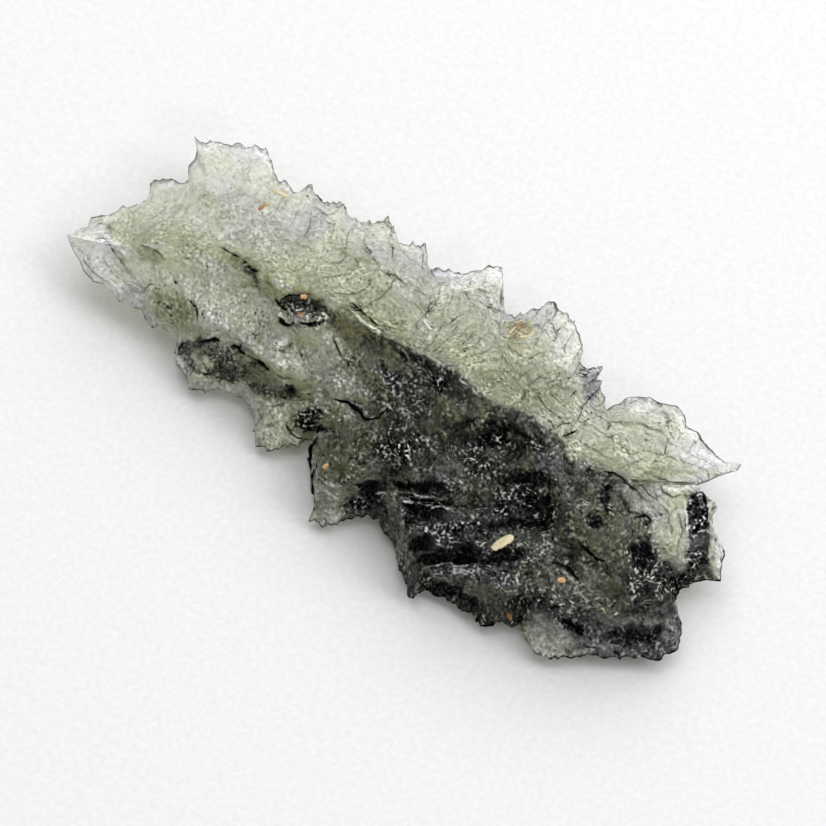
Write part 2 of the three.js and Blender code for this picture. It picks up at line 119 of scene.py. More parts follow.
FAR_HEIGHTS = np.array([
    [1.7, 1.7, 1.7, 1.7],
    [2.3, 2.2, 2.1, 1.9],
    [3.1, 3.0, 2.7, 2.3],
    [3.4, 3.1, 2.6, 2.0],
    [3.7, 3.2, 2.5, 1.9],
    [4.0, 3.4, 2.5, 1.8],
    [4.1, 3.4, 2.4, 1.7],
    [4.1, 3.3, 2.3, 1.5],
    [3.9, 3.1, 2.2, 1.5],
    [3.3, 2.8, 2.2, 1.6],
    [1.8, 1.8, 1.8, 1.8],
])
WING = np.array([0, 0.6, 0.85, 1, 1, 1, 1, 1, 0.9, 0.8, 0])

# The outlines as drawn, one lobe from each section to the next, as x, y, x, y and so on. The last
# point of a lobe is the notch where the next one begins.
NEAR_LOBES = [
    [-11.62, 6.28, -11.48, 5.96, -11.27, 5.6, -11.1, 5.12, -10.78, 4.72, -10.4, 4.6, -10.08, 4.32,
     -9.87, 3.96],
    [-9.59, 4.04, -9.38, 3.8, -9.1, 3.6, -8.86, 3.04, -8.58, 2.96, -8.19, 2.76, -7.95, 2.56,
     -7.6, 2.32],
    [-7.88, 2, -7.91, 1.68, -7.84, 1.32, -7.63, 1.24, -7.42, 0.92, -7.35, 0.56, -7.25, 0.4,
     -6.93, 0.36, -6.51, 0.32, -6.16, 0.24, -5.5, -0.04],
    [-5.22, -0.36, -5.11, -0.76, -5.11, -1.28, -5.01, -1.84, -4.62, -2, -4.34, -2, -3.82, -1.88,
     -3.01, -1.56],
    [-3.15, -2, -3.26, -2.32, -3.12, -2.92, -3.05, -3.72, -2.98, -4.24, -3.15, -4.72, -2.77, -5.08,
     -2.49, -4.96, -2.28, -5.04, -1.86, -4.8, -1.05, -4.66],
    [-0.74, -4.84, -0.53, -5.24, -0.21, -5.64, -0.11, -6.16, -0.04, -6.68, 0.21, -7.2, 0.25, -7.64,
     0.46, -7.88, 0.77, -7.56],
    [1.02, -7.64, 1.54, -7.92, 2, -8.24],
    [2.49, -8.36, 2.8, -8.88, 3.33, -8.8, 3.85, -8.84, 4.13, -8.72],
    [4.17, -9.04, 4.48, -9.72, 4.83, -10.08, 5.18, -10.2, 5.99, -10.12, 6.55, -10.08, 7.63, -10.12,
     8.54, -10.16, 8.86, -10.2, 9.24, -9.96, 9.56, -9.84, 9.63, -9.48, 9.7, -8.96, 9.56, -8.32,
     9.42, -7.84],
    [9.63, -7.52, 9.98, -7.28, 10.4, -7.12, 10.99, -7.12, 11.09, -6.48, 11.2, -5.96, 10.99, -5.56,
     10.78, -5, 10.78, -4.56, 10.99, -4.2, 10.61, -3.88, 10.29, -3.36],
]
FAR_LOBES = [
    [-11.38, 6.92, -11.03, 6.96, -10.89, 7.36, -10.19, 7.48, -9.77, 7.76],
    [-9.21, 7.88, -8.89, 8.2, -8.82, 8.68, -8.58, 8.84, -8.16, 8.84, -7.95, 8.72, -7.49, 8.8],
    [-7.49, 9.36, -7.32, 9.8, -7.18, 10.12, -7.28, 10.68, -6.62, 10.44, -6.13, 10.52, -5.57, 10.32,
     -4.94, 10.32, -4.66, 9.96, -4.48, 9.6, -4.45, 9.08, -4.2, 8.72, -3.85, 8.48],
    [-3.57, 8.56, -3.15, 8.76, -3.01, 8.4, -2.7, 8.12, -2.49, 7.88, -1.96, 7.96, -1.86, 7.68],
    [-1.54, 7.48, -1.23, 7.2, -0.84, 7.24, -0.53, 7.36, -0.32, 7.2, -0.14, 6.76, -0.07, 6.44],
    [0.25, 6.32, 0.67, 6.36, 0.91, 6.16, 0.98, 5.8, 0.95, 5.4],
    [1.26, 5.44, 1.82, 5.36, 2.14, 5.16, 2.56, 5.16, 2.87, 5.36, 3.22, 5.52, 3.61, 5.36, 3.64, 4.72,
     3.61, 4.16, 3.64, 3.56],
    [3.92, 3.44, 4.62, 3.68, 4.94, 3.8, 5.11, 4, 5.39, 4.08, 5.53, 3.76, 5.85, 3.56, 6.06, 3.16,
     6.16, 2.68, 6.41, 2.2, 6.41, 1.92, 6.27, 1.36],
    [6.62, 1.32, 7.04, 1.48, 7.07, 1.28, 6.86, 1.04, 6.76, 0.88, 7.07, 0.84, 6.93, 0.56, 7, 0.28,
     7.14, 0.08, 7.07, -0.36],
    [7.56, -0.12, 7.88, 0.12, 8.33, 0.2, 8.75, 0.12, 9.17, -0.12, 9.66, -0.28, 9.87, -0.6, 9.94, -1,
     10.33, -1.28, 10.54, -1.72, 11.03, -2.24, 11.27, -2.48, 11.83, -2.52, 11.69, -2.8,
     11.41, -2.88, 10.99, -3.04, 10.61, -3.24, 10.29, -3.36],
]

# Ledges on the top, as drawn: (path, rise, reach). The ground to the left of the path stands
# higher by rise, and the step dies out over reach to both sides. A path is x, y, x, y and so on.
LEDGES = [
    ([-6.48, 6.56, -5.43, 5.4, -4.73, 4.8, -4.13, 4.28, -3.5, 4], 0.5, 1.5),
    ([-9.03, 4.24, -8.58, 4.76, -7.88, 4.4, -7.28, 3.88, -7, 3.12], 0.5, 0.8),
    ([-7.91, 2.12, -7.53, 2.72, -7, 3.16, -6.13, 2.88, -5.25, 1.76, -4.48, 1.24, -3.5, 0.88,
     -2.45, 0.32, -1.68, 0.08], 0.8, 0.9),
    ([-1.75, 3.24, -0.53, 2.26, 0.53, 1.64, 1.93, 0.62, 2.8, -0.1, 4.03, -1.08, 5.6, -2.2,
     7, -3.28], 0.7, 0.9),
    ([3.5, 4.4, 2.1, 4.72, 1.82, 5.32, 1.12, 5.52], 0.25, 0.6),
    ([1.93, -0.56, 2.87, -0.84, 3.68, -1.36, 4.2, -1.84, 4.73, -2.6], 0.5, 0.8),
    ([3.5, -3.2, 4.27, -2.8, 4.9, -2.96, 5.32, -3.44, 5.46, -4.4, 5.32, -5.6], 0.7, 0.7),
    ([7.28, -5.8, 8.05, -5.28, 8.93, -5.4, 9.38, -6.08, 9.59, -7.28], 0.6, 0.6),
    ([4.2, -8.48, 5.08, -8.24, 5.6, -8.48, 6.3, -8.24, 7.35, -8.44, 8.05, -8.12, 8.58, -7.84,
     9.45, -7.84], 0.9, 0.6),
]
LEDGE_SHARPNESS = 0.15

# Grooves and spines on the top, as drawn: (path, rise, width). They are sharp along the path and
# gone at width from it.
CREASES = [
    ([-3.05, -1.6, -2.73, -0.48, -2.1, -0.08, -1.4, -0.2, -0.88, -0.8, -0.7, -1.8], -0.7, 0.5),
    ([-1.33, -3.12, -0.18, -3.6, 0.53, -3.8, 1.82, -4, 3.68, -3.88], -0.6, 0.5),
    ([-0.98, -4, 0, -4.48, 1.4, -4.88], -0.4, 0.45),
    ([0.18, -7.6, 1.05, -6.64, 2.45, -6.4, 3.68, -7], -0.5, 0.5),
    ([5.08, -1, 5.67, -1.44, 6.37, -0.8], -0.4, 0.4),
    ([3.85, -8.88, 4.2, -8, 5.08, -7.4], -0.6, 0.5),
    ([-2.87, 6.72, -1.68, 5.72, -0.88, 5.2, 0.53, 4.64, 1.3, 4.8], 0.25, 0.5),
    ([-3.08, 8.8, -2.73, 7.4, -3.22, 6.2, -3.78, 5.52], 0.35, 0.6),
    ([8.4, -2.72, 9.28, -3.2, 10.4, -3.36], 0.3, 0.5),
    ([1.58, 4, 2.8, 2.2, 4.2, 1.12, 5.6, 1.36], 0.25, 0.6),
]

# Single hollows and mounds on the top, as drawn: (place, radius, rise).
HOLLOWS = [
    ((-3.26, 3.92), 0.65, -0.8),
    ((-1.68, 2.48), 1.1, -0.4),
    ((6.48, -5.12), 1.4, 0.45),
    ((6.69, -4.88), 0.38, -0.5),
    ((4.48, -4.4), 0.8, -0.35),
    ((8.4, -6.4), 0.9, -0.4),
    ((2.45, -1.6), 0.8, -0.4),
    ((0.7, 0.08), 0.9, -0.35),
    ((1.93, -6.4), 1, -0.4),
    ((0, -5.2), 0.7, -0.35),
    ((10.43, -5.6), 0.6, -0.35),
    ((-4.03, 2.32), 0.4, -0.25),
    ((-1.93, -1.6), 0.8, 0.3),
    ((-5.78, 1), 0.7, 0.3),
    ((-4.03, -1), 1.3, -1),
    ((-2.8, -4.3), 0.9, -0.8),
    ((4.9, -9.3), 0.9, -0.6),
    ((9.1, -4.3), 1.8, -1.1),
]


class Look(Enum):
    """How a place on the stone looks: its gloom, pitting, milkiness and hue.

    Gloom is painted shade: it darkens the glass's colour from 0, where light comes up through the
    glass, to 1, where none does. Pitting is the share of glittering crumbs, painted as glints on
    the grain and as shade in its hollows, milkiness the share of light that the skin scatters, and
    the hue runs from -1, violet grey, over 1, olive green, to brown stains past 1.4.
    """

    WING = (0.2, 0.35, 0.25, 0.05)
    FLAKES = (0.12, 0.75, 0.25, 0.1)
    PLATEAU = (0.22, 0.8, 0.25, 0.0)
    DARK = (0.93, 0.5, 0.05, 0.3)
    GREY = (0.92, 0.1, 0.05, 0.1)
    GREEN = (0.8, 0.45, 0.06, 1.2)
    OLIVE = (0.78, 0.02, 0.03, 1.4)
    MOSS = (0.97, 0.15, 0.04, 1.4)
    SLATE = (0.84, 0.4, 0.1, -0.8)
    STAIN = (0.42, 0.6, 0.1, 3.2)
    BLACK = (1.4, 0.1, 0.0, -0.3)
    # Black painted shade with painted glints.
    PITS = (1.13, 1.0, 0.04, -0.2)
    VIOLET = (1.05, 1.0, 0.1, -1.0)
    HAZE = (0.42, 0.3, 0.2, -0.7)
    PALE = (0.0, 0.6, 0.35, 0.1)
    FROST = (0.0, 0.05, 0.55, 0.1)
    CLEAR = (0.0, 0.1, 0.85, -0.2)


# Places on the top with a look of their own, as drawn: (look, place, half length, half width,
# turn, strength). Later ones lie over earlier ones. Their gloom is painted shade: dark zones
# where the glass lets little light through, paler ones where it lets more.
ZONES = [
    # the near side below the crest
    (Look.PITS, (1.65, 0.68), 1.26, 0.48, -37, 0.95),
    (Look.PITS, (0, 0.64), 0.63, 0.41, -20, 0.85),
    (Look.GREY, (0, -0.48), 0.67, 0.55, 0, 0.5),
    (Look.GREY, (4.03, -0.76), 1.7, 0.3, -33, 0.9),
    (Look.PITS, (-0.18, -2.2), 0.81, 0.89, 0, 0.9),
    (Look.GREY, (1.33, -2.72), 0.7, 0.52, 0, 0.9),
    (Look.PITS, (3.68, -1.88), 1.85, 0.37, -10, 0.85),
    (Look.PITS, (2.45, -2.64), 0.52, 0.59, 0, 0.8),
    (Look.GREY, (4.48, -2.4), 1.63, 0.41, -8, 0.95),
    (Look.PITS, (4.38, -4.28), 1.11, 1, 0, 1),
    (Look.BLACK, (4.48, -3.12), 0.89, 0.26, 0, 1),
    (Look.BLACK, (5.08, -4.2), 0.18, 0.92, 0, 0.8),
    (Look.BLACK, (-1.12, -3.48), 0.37, 0.44, 0, 1),
    (Look.BLACK, (0.53, -3.4), 1.41, 0.22, -6, 1),
    (Look.BLACK, (1.05, -4.04), 1.26, 0.18, -8, 1),
    (Look.BLACK, (0.42, -4.36), 0.55, 0.18, -15, 0.8),
    (Look.GREY, (1.47, -4.52), 1.11, 0.26, 0, 0.8),
    (Look.PITS, (3.33, -4.44), 0.74, 0.33, -10, 0.8),
    (Look.BLACK, (4.2, -4.84), 0.89, 0.18, 5, 1),
    (Look.GREEN, (-0.25, -5.8), 1.7, 0.48, -68, 0.7),
    (Look.PITS, (2.28, -5.2), 1.33, 0.48, 8, 0.8),
    (Look.BLACK, (0.77, -5.6), 0.48, 0.44, 0, 0.85),
    (Look.BLACK, (1.93, -6.24), 1.04, 0.52, 10, 1),
    (Look.BLACK, (3.5, -6.12), 0.89, 0.37, 20, 0.9),
    (Look.VIOLET, (2.73, -6.72), 0.92, 0.26, -10, 0.8),
    (Look.VIOLET, (3.5, -7.04), 0.63, 0.37, -30, 0.8),
    (Look.GREEN, (4.73, -6.72), 0.74, 0.59, 0, 0.8),
    (Look.PITS, (5.08, -7.76), 0.95, 0.5, 0, 0.7),
    (Look.GREEN, (3.05, -7.84), 0.89, 0.55, -30, 1),
    (Look.GREY, (3.78, -8.44), 0.33, 0.33, 0, 0.8),
    (Look.BLACK, (1.93, -7.76), 0.92, 0.26, -25, 1),
    # the blunt end
    (Look.GREY, (6.65, -3), 1.41, 0.37, -20, 0.9),
    (Look.GREEN, (7, -5.2), 1.55, 1.41, 0, 1),
    (Look.GREEN, (6.72, -7.52), 1.26, 0.74, -50, 1),
    (Look.BLACK, (7.11, -3.56), 0.26, 0.15, 0, 0.9),
    (Look.PITS, (8.58, -6.12), 1, 0.74, -10, 1),
    (Look.PITS, (8.51, -7.12), 1.11, 0.52, -8, 0.9),
    (Look.PALE, (8.4, -3.68), 0.81, 0.48, -45, 0.8),
    (Look.PALE, (9.38, -4.92), 0.67, 1.55, 0, 1),
    (Look.VIOLET, (10.14, -5.1), 0.28, 1.75, -3, 0.8),
    (Look.GREY, (8.23, -8.28), 1.33, 0.48, 3, 1),
    (Look.SLATE, (7.7, -9.4), 2.22, 0.63, 0, 0.84),
    (Look.BLACK, (8.12, -9.2), 1.2, 0.4, 0, 0.8),
    (Look.BLACK, (6.02, -9), 0.48, 0.41, 0, 1),
    (Look.SLATE, (9.24, -9.28), 0.37, 0.74, 0, 0.9),
    (Look.PALE, (5.08, -9.28), 1, 0.74, -10, 1),
    (Look.CLEAR, (9.8, -3.32), 1.11, 0.37, -8, 0.8),
    # the blocks at the near rim
    (Look.MOSS, (-8.0, 3.6), 1.05, 0.7, -25, 0.65),
    (Look.VIOLET, (-7.42, 1.84), 0.41, 0.63, 0, 1),
    (Look.BLACK, (-6.3, 2.14), 0.95, 0.26, -10, 0.55),
    (Look.MOSS, (-6.05, 1.4), 1.2, 0.65, -20, 1),
    (Look.MOSS, (-4.97, 1.28), 0.48, 0.26, -12, 1),
    (Look.GREEN, (-4.1, 0.48), 0.74, 0.41, 0, 0.9),
    (Look.PALE, (-4.48, -1), 0.81, 1, 0, 0.9),
    (Look.PITS, (-3.29, -0.72), 0.52, 0.52, 0, 1),
    (Look.GREEN, (-2, -2.2), 0.96, 1.85, 0, 0.8),
    (Look.PALE, (-2.35, -3.64), 0.59, 0.41, -30, 0.6),
    (Look.BLACK, (-2.77, -1.16), 0.33, 0.18, 0, 1),
    (Look.FROST, (-2.7, -4.64), 0.55, 0.37, 0, 0.7),
    # the plateau
    (Look.PALE, (-2.8, 1.88), 0.81, 1, -45, 0.8),
    (Look.OLIVE, (-1.75, 2.88), 0.89, 0.74, -30, 1),
    (Look.OLIVE, (-0.63, 1.92), 1.04, 0.52, -40, 1),
    (Look.OLIVE, (-3.4, 3.88), 1, 0.55, -5, 0.9),
    (Look.PITS, (-3.36, 3.62), 0.92, 0.6, -5, 0.65),
    (Look.OLIVE, (-8.68, 5.84), 0.55, 0.3, -25, 0.7),
    (Look.CLEAR, (-10.7, 5.75), 1.8, 1.1, -42, 1),
    (Look.HAZE, (-9.87, 5.68), 0.81, 0.26, -50, 0.5),
    (Look.HAZE, (-5.95, 9.6), 1.18, 0.96, 0, 0.2),
    (Look.HAZE, (-5.4, 7.2), 1.9, 1.1, -15, 0.5),
    # the far wing
    (Look.HAZE, (-3.15, 7.2), 0.6, 0.8, 30, 1),
    (Look.HAZE, (-0.8, 5.9), 0.8, 0.4, -20, 0.9),
    (Look.HAZE, (0.5, 5.15), 0.75, 0.45, -20, 0.9),
    (Look.HAZE, (1.58, 4.96), 0.74, 0.33, -15, 0.9),
    (Look.HAZE, (4.55, 3.28), 0.89, 0.52, 10, 0.6),
    (Look.CLEAR, (2.8, 4.8), 0.96, 0.44, 10, 0.8),
    (Look.CLEAR, (5.74, 2.4), 0.7, 1.4, 10, 0.35),
    (Look.VIOLET, (6.72, 0.6), 0.37, 0.89, 0, 0.75),
    (Look.HAZE, (4.3, 3.5), 0.95, 0.3, 10, 0.8),
    (Look.OLIVE, (4.9, 0.6), 1.6, 0.7, -30, 0.38),
    (Look.OLIVE, (3.92, 0.2), 1.48, 0.55, -33, 0.3),
    (Look.OLIVE, (0, 2.6), 2.07, 0.37, -37, 0.3),
    (Look.CLEAR, (10.92, -2.48), 1.33, 0.55, -14, 0.9),
    # smaller places all over, on top of the rest
    (Look.BLACK, (-1.02, -3.56), 0.44, 0.37, 0, 1),
    (Look.VIOLET, (-1.33, -4.12), 0.52, 0.33, -10, 0.9),
    (Look.GREY, (-0.46, -4.8), 0.41, 0.89, 25, 0.9),
    (Look.BLACK, (0.7, -3.44), 0.81, 0.18, -8, 1),
    (Look.BLACK, (0.7, -4.32), 0.81, 0.22, -8, 0.9),
    (Look.BLACK, (0.7, -5.64), 0.44, 0.37, 0, 0.95),
    (Look.BLACK, (2.63, -5), 0.96, 0.22, 5, 0.9),
    (Look.BLACK, (4.03, -4.88), 0.59, 0.26, 5, 0.9),
    (Look.BLACK, (1.65, -6.28), 0.96, 0.33, 8, 0.9),
    (Look.VIOLET, (1.75, -6.72), 1.04, 0.18, 4, 0.8),
    (Look.BLACK, (1.75, -7.72), 0.92, 0.18, -20, 0.9),
    (Look.GREEN, (3.05, -7.6), 0.63, 0.37, -15, 1),
    (Look.GREY, (3.15, -8.36), 0.41, 0.33, 0, 0.8),
    (Look.GREY, (0.42, -7.12), 0.44, 0.63, 0, 0.8),
    (Look.BLACK, (6.69, -4.84), 0.3, 0.22, 20, 1),
    (Look.BLACK, (7, -4), 0.18, 0.3, 25, 0.9),
    (Look.GREY, (7.49, -4.84), 0.18, 0.33, 0, 0.9),
    (Look.BLACK, (8.05, -5.92), 0.44, 0.37, 0, 0.8),
    (Look.PITS, (8.47, -6.88), 0.96, 0.52, 15, 0.9),
    (Look.BLACK, (-7.63, 2), 0.55, 0.44, 0, 0.8),
    (Look.VIOLET, (-7.49, 1.44), 0.52, 0.37, 0, 0.7),
    (Look.BLACK, (-4.94, 1.24), 0.41, 0.22, -15, 0.9),
    (Look.MOSS, (-4.38, 0.44), 1.04, 0.41, 0, 0.9),
    (Look.BLACK, (-3.85, 0.52), 0.33, 0.3, 0, 0.7),
    (Look.MOSS, (-3.5, -0.96), 0.59, 0.59, 0, 0.6),
    (Look.PITS, (-3.4, -0.8), 0.48, 0.37, 0, 0.4),
    (Look.OLIVE, (-4.83, 4.48), 0.81, 0.22, -15, 0.8),
    (Look.GREEN, (6.02, -7.36), 1.33, 0.55, 20, 0.75),
    (Look.PALE, (-2.63, -4.48), 0.48, 0.37, 10, 0.8),
    (Look.STAIN, (4.17, 2.88), 0.55, 0.48, 20, 0.85),
    (Look.STAIN, (3.92, 2.2), 0.33, 0.26, 0, 0.5),
    (Look.STAIN, (-7.67, 3.52), 0.33, 0.22, -40, 0.35),
    # A painted highlight: the white spot of a glint.
    (Look.CLEAR, (-4.03, 2.28), 0.18, 0.15, 0, 1),
    (Look.HAZE, (-10.5, 6.72), 0.59, 0.26, -20, 0.7),
    (Look.HAZE, (-10.64, 5.52), 0.52, 0.26, -45, 0.6),
    (Look.BLACK, (-3.43, 3.92), 0.63, 0.26, 0, 0.6),
    (Look.BLACK, (-4.2, 0.48), 0.89, 0.33, 0, 0.35),
    (Look.FROST, (-4.48, -1.28), 0.48, 0.59, 0, 0.3),
    (Look.VIOLET, (10.3, -5.92), 0.3, 0.74, 0, 0.5),
    (Look.BLACK, (10.5, -6.24), 0.22, 0.18, 0, 0.5),
    (Look.CLEAR, (9.87, -1.92), 0.89, 0.41, -35, 0.5),
    (Look.CLEAR, (8.58, -0.4), 0.74, 0.26, 10, 0.4),
    (Look.PALE, (10.92, -5.6), 0.18, 1.26, 0, 0.8),
    (Look.HAZE, (5.95, -7.2), 1.7, 0.89, 0, 0.16),
    (Look.HAZE, (7.6, -9), 1.92, 0.89, 0, 0.14),
    (Look.HAZE, (2.17, -7.6), 1.48, 0.81, 0, 0.12),
    (Look.FROST, (-10.57, 5.52), 1.26, 0.81, -42, 0.35),
    (Look.MOSS, (-0.98, 2.32), 1.55, 0.74, -36, 0.3),
    (Look.MOSS, (-6.9, 1.68), 0.89, 0.67, -8, 0.7),
    (Look.MOSS, (-4.83, 0.96), 0.59, 0.33, -20, 0.8),
    (Look.CLEAR, (10.78, -4.48), 0.22, 0.96, 0, 0.8),
]

# Fine lines on the top, as drawn: (look, half width, strength, path). Those in dark looks are
# painted shade along grooves and edges.
STROKES = [
    # The crest's painted shadow, a dark green line.
    (Look.GREEN, 0.14, 0.9, [-6.23, 6.16, -5.74, 5.76, -5.25, 5.32, -4.69, 4.8, -4.2, 4.16]),
    (Look.BLACK, 0.1, 0.6, [-2.73, -0.16, -2.17, 0, -1.75, -0.16, -1.47, -0.48, -1.19, -0.84,
     -0.77, -0.8, -0.39, -0.36]),
    (Look.BLACK, 0.14, 0.8, [-4.24, 3.2, -3.99, 2.92, -3.5, 2.88, -2.8, 2.88]),
    (Look.FROST, 0.1, 0.35, [7.28, -8.68, 8.05, -8.68, 8.93, -8.72, 9.38, -8.48]),
    (Look.BLACK, 0.12, 0.8, [-2.87, -1.52, -3.08, -2, -3.12, -2.88, -2.98, -4]),
    # More of the crest's painted shadow, in olive.
    (Look.OLIVE, 0.22, 0.7, [-6.3, 6.24, -5.6, 5.52, -4.83, 4.6, -4.1, 4]),
    (Look.OLIVE, 0.2, 0.45, [-7.07, 8.4, -6.58, 7.68, -6.2, 6.4]),
    (Look.BLACK, 0.24, 1, [1.82, -1.52, 2.38, -0.84, 2.87, -0.84, 3.5, -1.12, 4.2, -1.36,
     5.18, -1.88]),
    (Look.BLACK, 0.16, 0.9, [2.03, -1.52, 2.8, -1.52, 3.4, -1.28]),
    (Look.BLACK, 0.16, 0.9, [-0.53, 2.4, 0.35, 1.84, 1.4, 1.04]),
    (Look.BLACK, 0.18, 0.5, [-7.35, 2.16, -6.83, 2.4, -6.23, 2.32, -5.78, 2.12, -5.36, 1.76]),
    (Look.OLIVE, 0.2, 0.9, [-2.35, -0.08, -2.63, -0.6, -2.77, -1.12]),
    (Look.OLIVE, 0.2, 0.7, [-8.89, 4.28, -8.23, 4.2, -7.53, 3.92, -7.11, 3.44]),
    (Look.BLACK, 0.2, 1, [6.44, -4.88, 6.58, -4.64, 6.86, -4.68]),
    (Look.VIOLET, 0.14, 0.7, [4.9, -1.28, 5.6, -2, 6.65, -2.72, 7.7, -2.96, 8.26, -3.44]),
    (Look.GREEN, 0.12, 0.7, [5.32, -6.08, 5.99, -7.32, 6.41, -8.4]),
    # A painted highlight: a white line at the same glint.
    (Look.FROST, 0.12, 1, [-4.17, 2.4, -3.96, 2.28]),
    (Look.CLEAR, 0.16, 0.9, [10.64, -3.68, 10.78, -4.4, 10.75, -5, 10.96, -5.8, 11.06, -6.24,
     10.92, -7.04]),
    (Look.FROST, 0.1, 0.8, [4.55, -9.76, 5.08, -10, 5.6, -10, 6.65, -9.92]),
    (Look.FROST, 0.1, 0.6, [-7, 0.56, -6.13, 0.48, -5.5, 0.24]),
    (Look.FROST, 0.09, 0.6, [-7.14, 1.8, -7, 1.44, -6.79, 1.12]),
    (Look.FROST, 0.09, 0.6, [-6.9, 1.84, -6.76, 1.56, -6.62, 1.32]),
    # More of the crest's painted shadow, in moss green.
    (Look.MOSS, 0.2, 0.85, [-6.09, 6.12, -5.6, 5.52, -5.08, 5, -4.62, 4.4, -4.2, 4]),
    (Look.MOSS, 0.14, 0.7, [-8.75, 4.4, -8.23, 3.88, -7.63, 3.12]),
]
